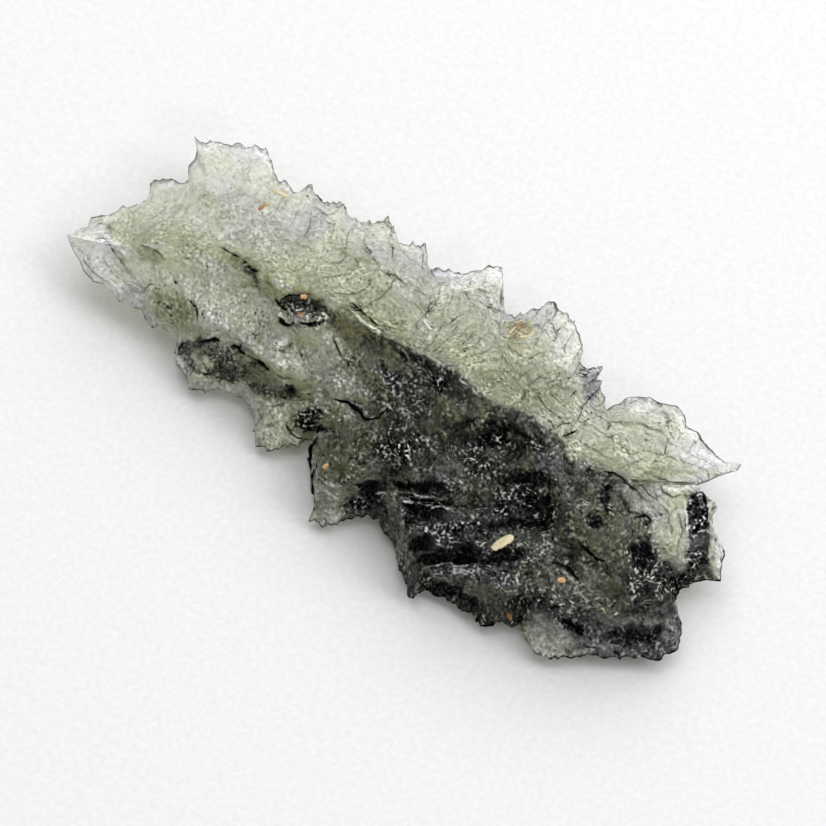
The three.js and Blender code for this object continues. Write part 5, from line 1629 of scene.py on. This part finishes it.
@dataclass(frozen=True)
class GlassFinish:
    """Etched green glass, with a corroded skin that scatters light where it is crumbly; its colour
    also carries painted shade, painted black and painted glints.

    Attributes:
        ior: Its index of refraction.
        density: The absorption's density, per metre.
        tint: The absorption's colour.
        gloss: Roughness of the pitted glass.
        haze: Roughness of the calm, frosty glass.
        frost_glint_and_shade: Roughness of the matt skin: the crumbly frosting, with the painted
            glints and the painted black that it carries.
        clear: What the surface of clear glass lets through.
        olive: What it lets through where it is olive.
        brown: What it lets through where dirt has stained it.
        dark: What the surface lets through where the gloom, a painted shade, is full.
        black: The colour of the deepest painted shade: pits from which no light comes back.
        frost: The colour of the frosty skin and of the painted glints and white lines, violet
        grey and green.
        crumb: The size of the etched surface's crumbs, in metres.
        crumb_detail: The finer crumbs in them, and how rough those are.
        glint: The size of the fine grain, whose high spots take the painted glints, in metres.
        steepness: The crumbs' height as a share of their size.
        calm_share: The share of the crumbs' height that is left on calm glass.
        calm_fineness: How far calm glass's grain is made of glints instead of crumbs.
        threads: Striations to a millimetre of rim, and from crest to rim.
        thread_detail: The finer striations in them, and how rough those are.
        thread_height: The striations' height, in metres.
        greening: Olive for each unit of hue, olive at hue 0, and what striations change in it.
        stain: How the stain grows with the hue.
        hair: The half width of the fine lines, in mm.
        hair_tone: How strong a fine line is, dark ones as painted shade and white ones as painted
        highlights, and what the grain adds.
        rough: How far the grain changes the painted shade: always, more with gloom, more with
            pitting, and less of that with gloom.
        pit_floors: How the painted shade grows in the hollows where the grain of pitted glass is
            deep.
        painted_glint: How the painted glints, pale specks where the grain is high, grow with the
            grain.
        painted_glint_crumbs: How much less crumbs count for the painted glints than glints.
        painted_glint_strength: The painted glints' strength without gloom, and what gloom adds.
        swallow: How the painted black, the share that gives no light back, grows with the painted
            shade.
        milky_threads: How far striations change the milkiness.
    """

    ior: float = 1.49
    density: float = 350.0
    tint: Colour = (0.62, 0.63, 0.33, 1.0)
    gloss: float = 0.28
    haze: float = 0.33
    frost_glint_and_shade: float = 0.6
    clear: Colour = (1.0, 1.0, 1.0, 1.0)
    olive: Colour = (0.96, 1.0, 0.62, 1.0)
    brown: Colour = (0.62, 0.34, 0.1, 1.0)
    dark: Colour = (0.01, 0.012, 0.01, 1.0)
    black: Colour = (0.0015, 0.0015, 0.002, 1.0)
    frost: tuple[Colour, Colour] = ((0.93, 0.92, 0.97, 1.0), (0.86, 0.91, 0.68, 1.0))
    crumb: float = 0.00026
    crumb_detail: tuple[float, float] = (1.5, 0.6)
    glint: float = 0.00011
    steepness: float = 1.2
    calm_share: float = 0.35
    calm_fineness: float = 0.4
    threads: tuple[float, float] = (0.8, 26.0)
    thread_detail: tuple[float, float] = (2.0, 0.6)
    thread_height: float = 0.00012
    greening: tuple[float, float, float] = (0.65, 0.35, 0.8)
    stain: Ramp = Ramp(1.4, 1.0)
    hair: float = 0.06
    hair_tone: tuple[float, float] = (0.4, 0.7)
    rough: tuple[float, float, float, float] = (0.1, 0.15, 1.2, 0.5)
    pit_floors: Ramp = Ramp(0.72, -3.0)
    painted_glint: Ramp = Ramp(1.06, 6.0)
    painted_glint_crumbs: float = 0.1
    painted_glint_strength: tuple[float, float] = (0.2, 0.7)
    swallow: Ramp = Ramp(0.9, 2.2)
    milky_threads: float = 1.4

    def normal(self, crumbs: Value, striae: Value, calm: Value, strands: Value) -> Value:
        """The etched surface's normal, from its crumbs and striations.

        Args:
            crumbs: The crumbs' pattern.
            striae: The striations' pattern.
            calm: Where the glass is calm.
            strands: Where it is striated.

        Returns:
            The normal.
        """
        rugged = 1.0 - (1.0 - self.calm_share) * calm
        height = crumbs * rugged * (self.crumb * self.steepness)
        height = height + striae * strands * self.thread_height
        return crumbs.tree.bump(height, 1.0)

    def material(self) -> bpy.types.Material:
        """Builds the material from the masks that the stone's points carry.

        The shade is painted shade: it says how dark a place is. The glass's colour darkens with it,
        and past the start of swallow a matt black, the deepest painted shade, takes over from the
        glass. Where the skin is milky, a matt pale one does, and it also carries the painted glints
        and the white fine lines, which are painted highlights.
        """
        tree = Tree("etched_green_glass")
        calm, gloom, pitted, milk, hue, strands, reach, run, line, drawn = (
            tree.attribute(name) for name in MASKS
        )
        place = tree.place()
        crumbs = tree.noise(place, self.crumb, *self.crumb_detail)
        glints = tree.noise(place, self.glint, 0.0)
        by_run, by_reach = self.threads
        threads = tree.add("ShaderNodeCombineXYZ", None, {0: run * by_run, 1: reach * by_reach})
        striae = tree.noise(threads, 1.0, *self.thread_detail)
        normal = self.normal(crumbs, striae, calm, strands)

        by_hue, at_zero, streaks = self.greening
        green = (hue * by_hue + at_zero + (striae - 0.5) * streaks).clipped()
        grain = crumbs + glints + (glints - crumbs) * calm * self.calm_fineness
        # Fine lines: the dark ones are painted shade, the white ones, drawn below 0, painted
        # highlights.
        line_tone, grainy_line_tone = self.hair_tone
        hair = (1.0 - line.size() * (1 / self.hair)).clipped() * drawn
        hair = hair * (line_tone + grain * grainy_line_tone)
        always, with_gloom, with_pits, pits_in_gloom = self.rough
        rough = always + with_gloom * gloom + pitted * (with_pits - pits_in_gloom * gloom)
        # The painted shade: the gloom, darker where the grain is low and in the pitted grain's
        # hollows, and along the dark fine lines.
        shade = gloom + (1.0 - grain) * rough
        shade = shade + (0.5 - striae) * strands + hair + self.pit_floors.of(grain) * pitted
        least, more = self.painted_glint_strength
        # Painted glints: pale specks where the grain is high, on pitted glass.
        painted_glint = self.painted_glint.of(grain - self.painted_glint_crumbs * crumbs) * pitted * (least + more * gloom)
        # Painted black, the deepest painted shade.
        black = self.swallow.of(shade) * (1.0 - painted_glint)
        milky = milk * grain * (strands * (striae - 0.5) * self.milky_threads + grain)
        frost_and_glint_share = (milky + painted_glint - hair).clipped() * (1.0 - black)
        share = frost_and_glint_share + black

        unstained = tree.mix(green, self.clear, self.olive)
        lets_through = tree.mix(self.stain.of(hue), unstained, self.brown)
        glass = tree.add("ShaderNodeBsdfPrincipled", None, {
            # The glass's colour darkens with the painted shade.
            "Base Color": tree.mix(shade.clipped(), lets_through, self.dark),
            "Roughness": self.gloss + calm * (self.haze - self.gloss),
            "IOR": self.ior,
            "Transmission Weight": 1.0,
            "Normal": normal,
        })
        blackness = black / (share + TINY_SHARE)
        # The matt skin: the crumbly frosting, the painted glints and white lines, and the painted
        # black.
        frost_glint_and_shade = tree.add("ShaderNodeBsdfPrincipled", None, {
            "Base Color": tree.mix(blackness, tree.mix(green, *self.frost), self.black),
            "Roughness": self.frost_glint_and_shade,
            "Specular IOR Level": 0.0,
            "Normal": normal,
        })
        surface = tree.add("ShaderNodeMixShader", None, {0: share, 1: glass, 2: frost_glint_and_shade})
        sockets = {"Color": self.tint, "Density": self.density}
        absorption = tree.add("ShaderNodeVolumeAbsorption", None, sockets)
        return tree.finish(surface, absorption)


# ---- The dirt ----


class Dirt(Enum):
    """What is stuck in the pits, with its colour. One white grain at a glint is a painted
    highlight.
    """

    STRAW = (0.78, 0.66, 0.42)
    CLAY = (0.66, 0.4, 0.18)
    RUST = (0.4, 0.2, 0.08)
    # Chalk, and the white grain at a glint, a painted highlight.
    CHALK = (0.85, 0.82, 0.74)


@dataclass(frozen=True)
class MineralFinish:
    """A dull mineral, mottled all over.

    Attributes:
        size: The mottling's size, in metres.
        detail: The finer mottling in it.
        deep: How much darker than its colour its dark spots are.
        pale: How much brighter its pale spots are.
        palest: No part of a colour is over this.
        rough: Its roughness, and what the mottling adds to that.
        bumps: The mottling's height, in metres.
    """

    size: float = 0.00018
    detail: float = 4.0
    deep: float = 0.55
    pale: float = 1.3
    palest: float = 0.95
    rough: tuple[float, float] = (0.55, 0.3)
    bumps: float = 0.00003

    def material(self, kind: Dirt) -> bpy.types.Material:
        """Builds the material of one kind of dirt."""
        tree = Tree(f"{kind.name.lower()}_mineral")
        mottle = tree.noise(tree.place(), self.size, self.detail)
        deep = (*(self.deep * c for c in kind.value), 1.0)
        pale = (*(min(self.pale * c, self.palest) for c in kind.value), 1.0)
        least, more = self.rough
        shader = tree.add("ShaderNodeBsdfPrincipled", None, {
            "Base Color": tree.mix(mottle, deep, pale),
            "Roughness": least + more * mottle,
            "Normal": tree.bump(mottle, self.bumps),
        })
        return tree.finish(shader)


@dataclass(frozen=True)
class Grain:
    """One grain.

    Attributes:
        at: Where it is drawn, in mm.
        size: Its length, width and thickness, in mm.
        turn: Its length's direction as drawn, in degrees.
        kind: What it is.
    """

    at: tuple[float, float]
    size: tuple[float, float, float]
    turn: float
    kind: Dirt


@dataclass
class Sand:
    """The grains of sand, straw, clay, rust and chalk in the pits, one white grain at a glint being
    a painted highlight.

    Attributes:
        grains: The grains.
        around: Faces round a grain.
        rings: Rings of faces from end to end.
        sunk: The share of a grain's thickness that lies in the glass.
        lump: How uneven a grain is, as a share of its radius for each of two waves.
    """

    grains: tuple[Grain, ...] = (
        Grain((3.5, -5.64), (1.0, 0.36, 0.26), 37, Dirt.STRAW),
        Grain((-4.24, 8.32), (0.62, 0.17, 0.08), -12, Dirt.STRAW),
        Grain((-4.83, 7.72), (0.3, 0.13, 0.05), 40, Dirt.RUST),
        Grain((-4.66, 7.86), (0.18, 0.1, 0.05), -20, Dirt.CLAY),
        Grain((-3.36, 4.08), (0.26, 0.19, 0.1), 0, Dirt.CLAY),
        Grain((-3.43, 3.36), (0.32, 0.13, 0.08), 20, Dirt.RUST),
        Grain((-2.56, -2.64), (0.26, 0.15, 0.08), 30, Dirt.CLAY),
        Grain((5.5, -7.08), (0.32, 0.18, 0.1), 5, Dirt.CLAY),
        Grain((3.78, -8.48), (0.3, 0.28, 0.1), -30, Dirt.RUST),
        Grain((0.95, 2.92), (0.62, 0.15, 0.1), -58, Dirt.CHALK),
        Grain((4.13, 3.12), (0.36, 0.12, 0.06), 35, Dirt.STRAW),
        Grain((3.96, 2.76), (0.4, 0.12, 0.06), 40, Dirt.STRAW),
        Grain((4.34, 2.48), (0.45, 0.1, 0.06), 10, Dirt.STRAW),
        Grain((4.45, 1.96), (0.3, 0.12, 0.06), -15, Dirt.STRAW),
        Grain((0.91, -5.08), (0.2, 0.15, 0.1), 30, Dirt.CHALK),
        # A painted highlight: a white grain at a glint, with a pale zone and line over it.
        Grain((-3.99, 2.28), (0.26, 0.2, 0.05), 10, Dirt.CHALK),
    )
    around: int = 20
    rings: int = 16
    sunk: float = 0.35
    lump: float = 0.14

    def grain(self, stone: Stone, grain: Grain, seed: int) -> bpy.types.Object:
        """Makes one grain.

        A ring at share s along the grain has the radius (1 - (2s - 1)^4)^(1/2). At the angle a,
        it is (1 + lump (sin(2a + seed) + sin(3a - 5s + 2 seed)) sin(pi s)) times as large, so
        that the grain is a worn, uneven lump.

        Args:
            stone: The stone that it sits on.
            grain: The grain.
            seed: What tells it from the others.

        Returns:
            The grain's object, in the CAD frame.
        """
        seat, normal = stone.seat(grain.at)
        angle = math.radians(grain.turn) + LIE
        along = np.array([math.cos(angle), math.sin(angle), 0.0])
        along = unit(along - normal * (along @ normal))
        wide = np.cross(normal, along)
        share = (np.arange(1, self.rings) / self.rings)[:, None]
        turn = (2 * np.pi * np.arange(self.around) / self.around)[None, :]
        radius = np.sqrt(np.maximum(1 - np.abs(2 * share - 1) ** 4, 0))
        waves = np.sin(2 * turn + seed) + np.sin(3 * turn - 5 * share + 2 * seed)
        radius = radius * (1 + self.lump * waves * np.sin(np.pi * share))
        length, width, thick = (0.5 * MM * s for s in grain.size)
        a = np.broadcast_to(length * (2 * share - 1), radius.shape)
        b = width * radius * np.cos(turn)
        c = thick * radius * np.sin(turn)
        centre = seat + normal * thick * (1 - 2 * self.sunk)
        spots = centre + a[..., None] * along + b[..., None] * wide + c[..., None] * normal
        tips = (centre - length * along, centre + length * along)
        return closed_skin(f"{grain.kind.name.lower()}_grain_{seed}", spots, *tips)

    def build(self, stone: Stone) -> list[bpy.types.Object]:
        """Makes every grain on the stone."""
        finishes = {kind: MineralFinish().material(kind) for kind in Dirt}
        made = []
        for seed, grain in enumerate(self.grains, 1):
            piece = self.grain(stone, grain, seed)
            piece.data.materials.append(finishes[grain.kind])
            made.append(piece)
        return made


# ---- The studio ----


@dataclass(frozen=True)
class PaperFinish:
    """Matt white paper with a fine grain.

    Attributes:
        grain: The grain's size, in metres.
        grain_detail: The finer grain in it, and how rough that is.
        dark: The colour of its dark spots.
        pale: The colour of its pale spots.
        rough: Its roughness.
    """

    grain: float = 0.00022
    grain_detail: tuple[float, float] = (3.0, 0.7)
    dark: Colour = (0.79, 0.79, 0.8, 1.0)
    pale: Colour = (1.0, 1.0, 1.0, 1.0)
    rough: float = 0.9

    def material(self) -> bpy.types.Material:
        """Builds the material."""
        tree = Tree("white_paper")
        grain = tree.noise(tree.place(), self.grain, *self.grain_detail)
        shader = tree.add("ShaderNodeBsdfPrincipled", None, {
            "Base Color": tree.mix(grain, self.dark, self.pale),
            "Roughness": self.rough,
            "Specular IOR Level": 0.0,
        })
        return tree.finish(shader)


@dataclass(frozen=True)
class Lamp:
    """A square soft box that faces the stone.

    Attributes:
        name: Its name.
        azimuth: Its direction round the stone as seen from above, 0 from the front, in degrees.
        elevation: Its height above the horizon, in degrees.
        spread: The angle that it fills as seen from the stone, in degrees.
        radiance: How bright it is.
        away: Its distance, in metres.
    """

    name: str
    azimuth: float
    elevation: float
    spread: float
    radiance: float
    away: float = 0.7


@dataclass
class Studio:
    """A plain white table, soft light and the camera.

    Attributes:
        lens: The camera's focal length, in mm.
        sensor: The camera's sensor width, in mm.
        field: The width that the camera sees at the stone, in metres.
        nearest: The camera sees nothing nearer than this, in metres.
        aim: The drawn point in the middle of the view, in mm.
        floor_size: The table's side, in metres.
        lamps: The lamps.
        sky: The brightness of the surroundings.
    """

    lens: float = 300.0
    sensor: float = 36.0
    field: float = 28.91 * MM
    nearest: float = 0.01
    aim: tuple[float, float] = (0.455, -0.52)
    floor_size: float = 3.0
    lamps: tuple[Lamp, ...] = (
        Lamp("window", 190, 60, 70, 1.63, 0.25),
        Lamp("side_window", 110, 45, 26, 4.0),
        Lamp("spark_right", 60, 35, 8, 12.0),
    )
    sky: float = 0.3

    def floor(self) -> bpy.types.Object:
        """Lays the table under the stone."""
        half = self.floor_size / 2
        corners = [(-half, -half, 0), (half, -half, 0), (half, half, 0), (-half, half, 0)]
        mesh = bpy.data.meshes.new("table")
        mesh.from_pydata(corners, [], [(0, 1, 2, 3)])
        mesh.materials.append(PaperFinish().material())
        made = bpy.data.objects.new("table", mesh)
        bpy.context.scene.collection.objects.link(made)
        return made

    def hang(
        self, name: str, data: bpy.types.ID, place: Array, azimuth: float, elevation: float
    ) -> bpy.types.Object:
        """Hangs a lamp or the camera, so that it looks back at the stone.

        Args:
            name: Its name.
            data: The lamp's or the camera's data.
            place: Where it hangs, in metres.
            azimuth: Where it hangs round the stone, in radians.
            elevation: Its height above the horizon, in radians.

        Returns:
            The new object.
        """
        made = bpy.data.objects.new(name, data)
        made.location = place
        made.rotation_mode = "QUATERNION"
        back = Vector(towards(azimuth, elevation))
        made.rotation_quaternion = back.to_track_quat("Z", "Y")
        bpy.context.scene.collection.objects.link(made)
        return made

    def light(self, lamp: Lamp) -> None:
        """Makes a lamp. Its power is pi * radiance * area."""
        data = bpy.data.lights.new(lamp.name, "AREA")
        data.size = 2 * lamp.away * math.tan(math.radians(lamp.spread / 2))
        data.energy = math.pi * lamp.radiance * data.size**2
        angles = math.radians(lamp.azimuth), math.radians(lamp.elevation)
        self.hang(lamp.name, data, towards(*angles) * lamp.away, *angles)

    def camera(self, stone: Stone) -> None:
        """Sets up the camera along the drawing's line of sight."""
        data = bpy.data.cameras.new("camera")
        data.lens = self.lens
        data.sensor_width = self.sensor
        data.clip_start = self.nearest
        target = stone.into_frame(np.array([*self.aim, 0.0]))
        place = target + towards(LIE, SIGHT) * (self.field * self.lens / self.sensor)
        bpy.context.scene.camera = self.hang("camera", data, place, LIE, SIGHT)

    def surroundings(self) -> None:
        """Surrounds the table with an even, dim white light."""
        world = bpy.data.worlds.new("room")
        world.use_nodes = True
        shade = world.node_tree.nodes["Background"]
        shade.inputs["Color"].default_value = (1.0, 1.0, 1.0, 1.0)
        shade.inputs["Strength"].default_value = self.sky
        bpy.context.scene.world = world
        bpy.context.scene.view_settings.view_transform = "Standard"

    def build(self, stone: Stone) -> None:
        """Builds the whole studio round the stone."""
        self.floor()
        self.surroundings()
        for lamp in self.lamps:
            self.light(lamp)
        self.camera(stone)


def main() -> None:
    """Builds the stone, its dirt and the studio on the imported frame."""
    logging.basicConfig(level=logging.INFO, format="%(name)s: %(message)s")
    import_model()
    stone = Stone()
    piece = stone.build()
    piece.data.materials.append(GlassFinish().material())
    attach(piece, "root")
    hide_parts(NODE)
    LOG.info("%s: %d faces", piece.name, len(piece.data.polygons))
    for grain in Sand().build(stone):
        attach(grain, "root")
        LOG.info("%s: %d faces", grain.name, len(grain.data.polygons))
    Studio().build(stone)


if __name__ == "__main__":
    main()
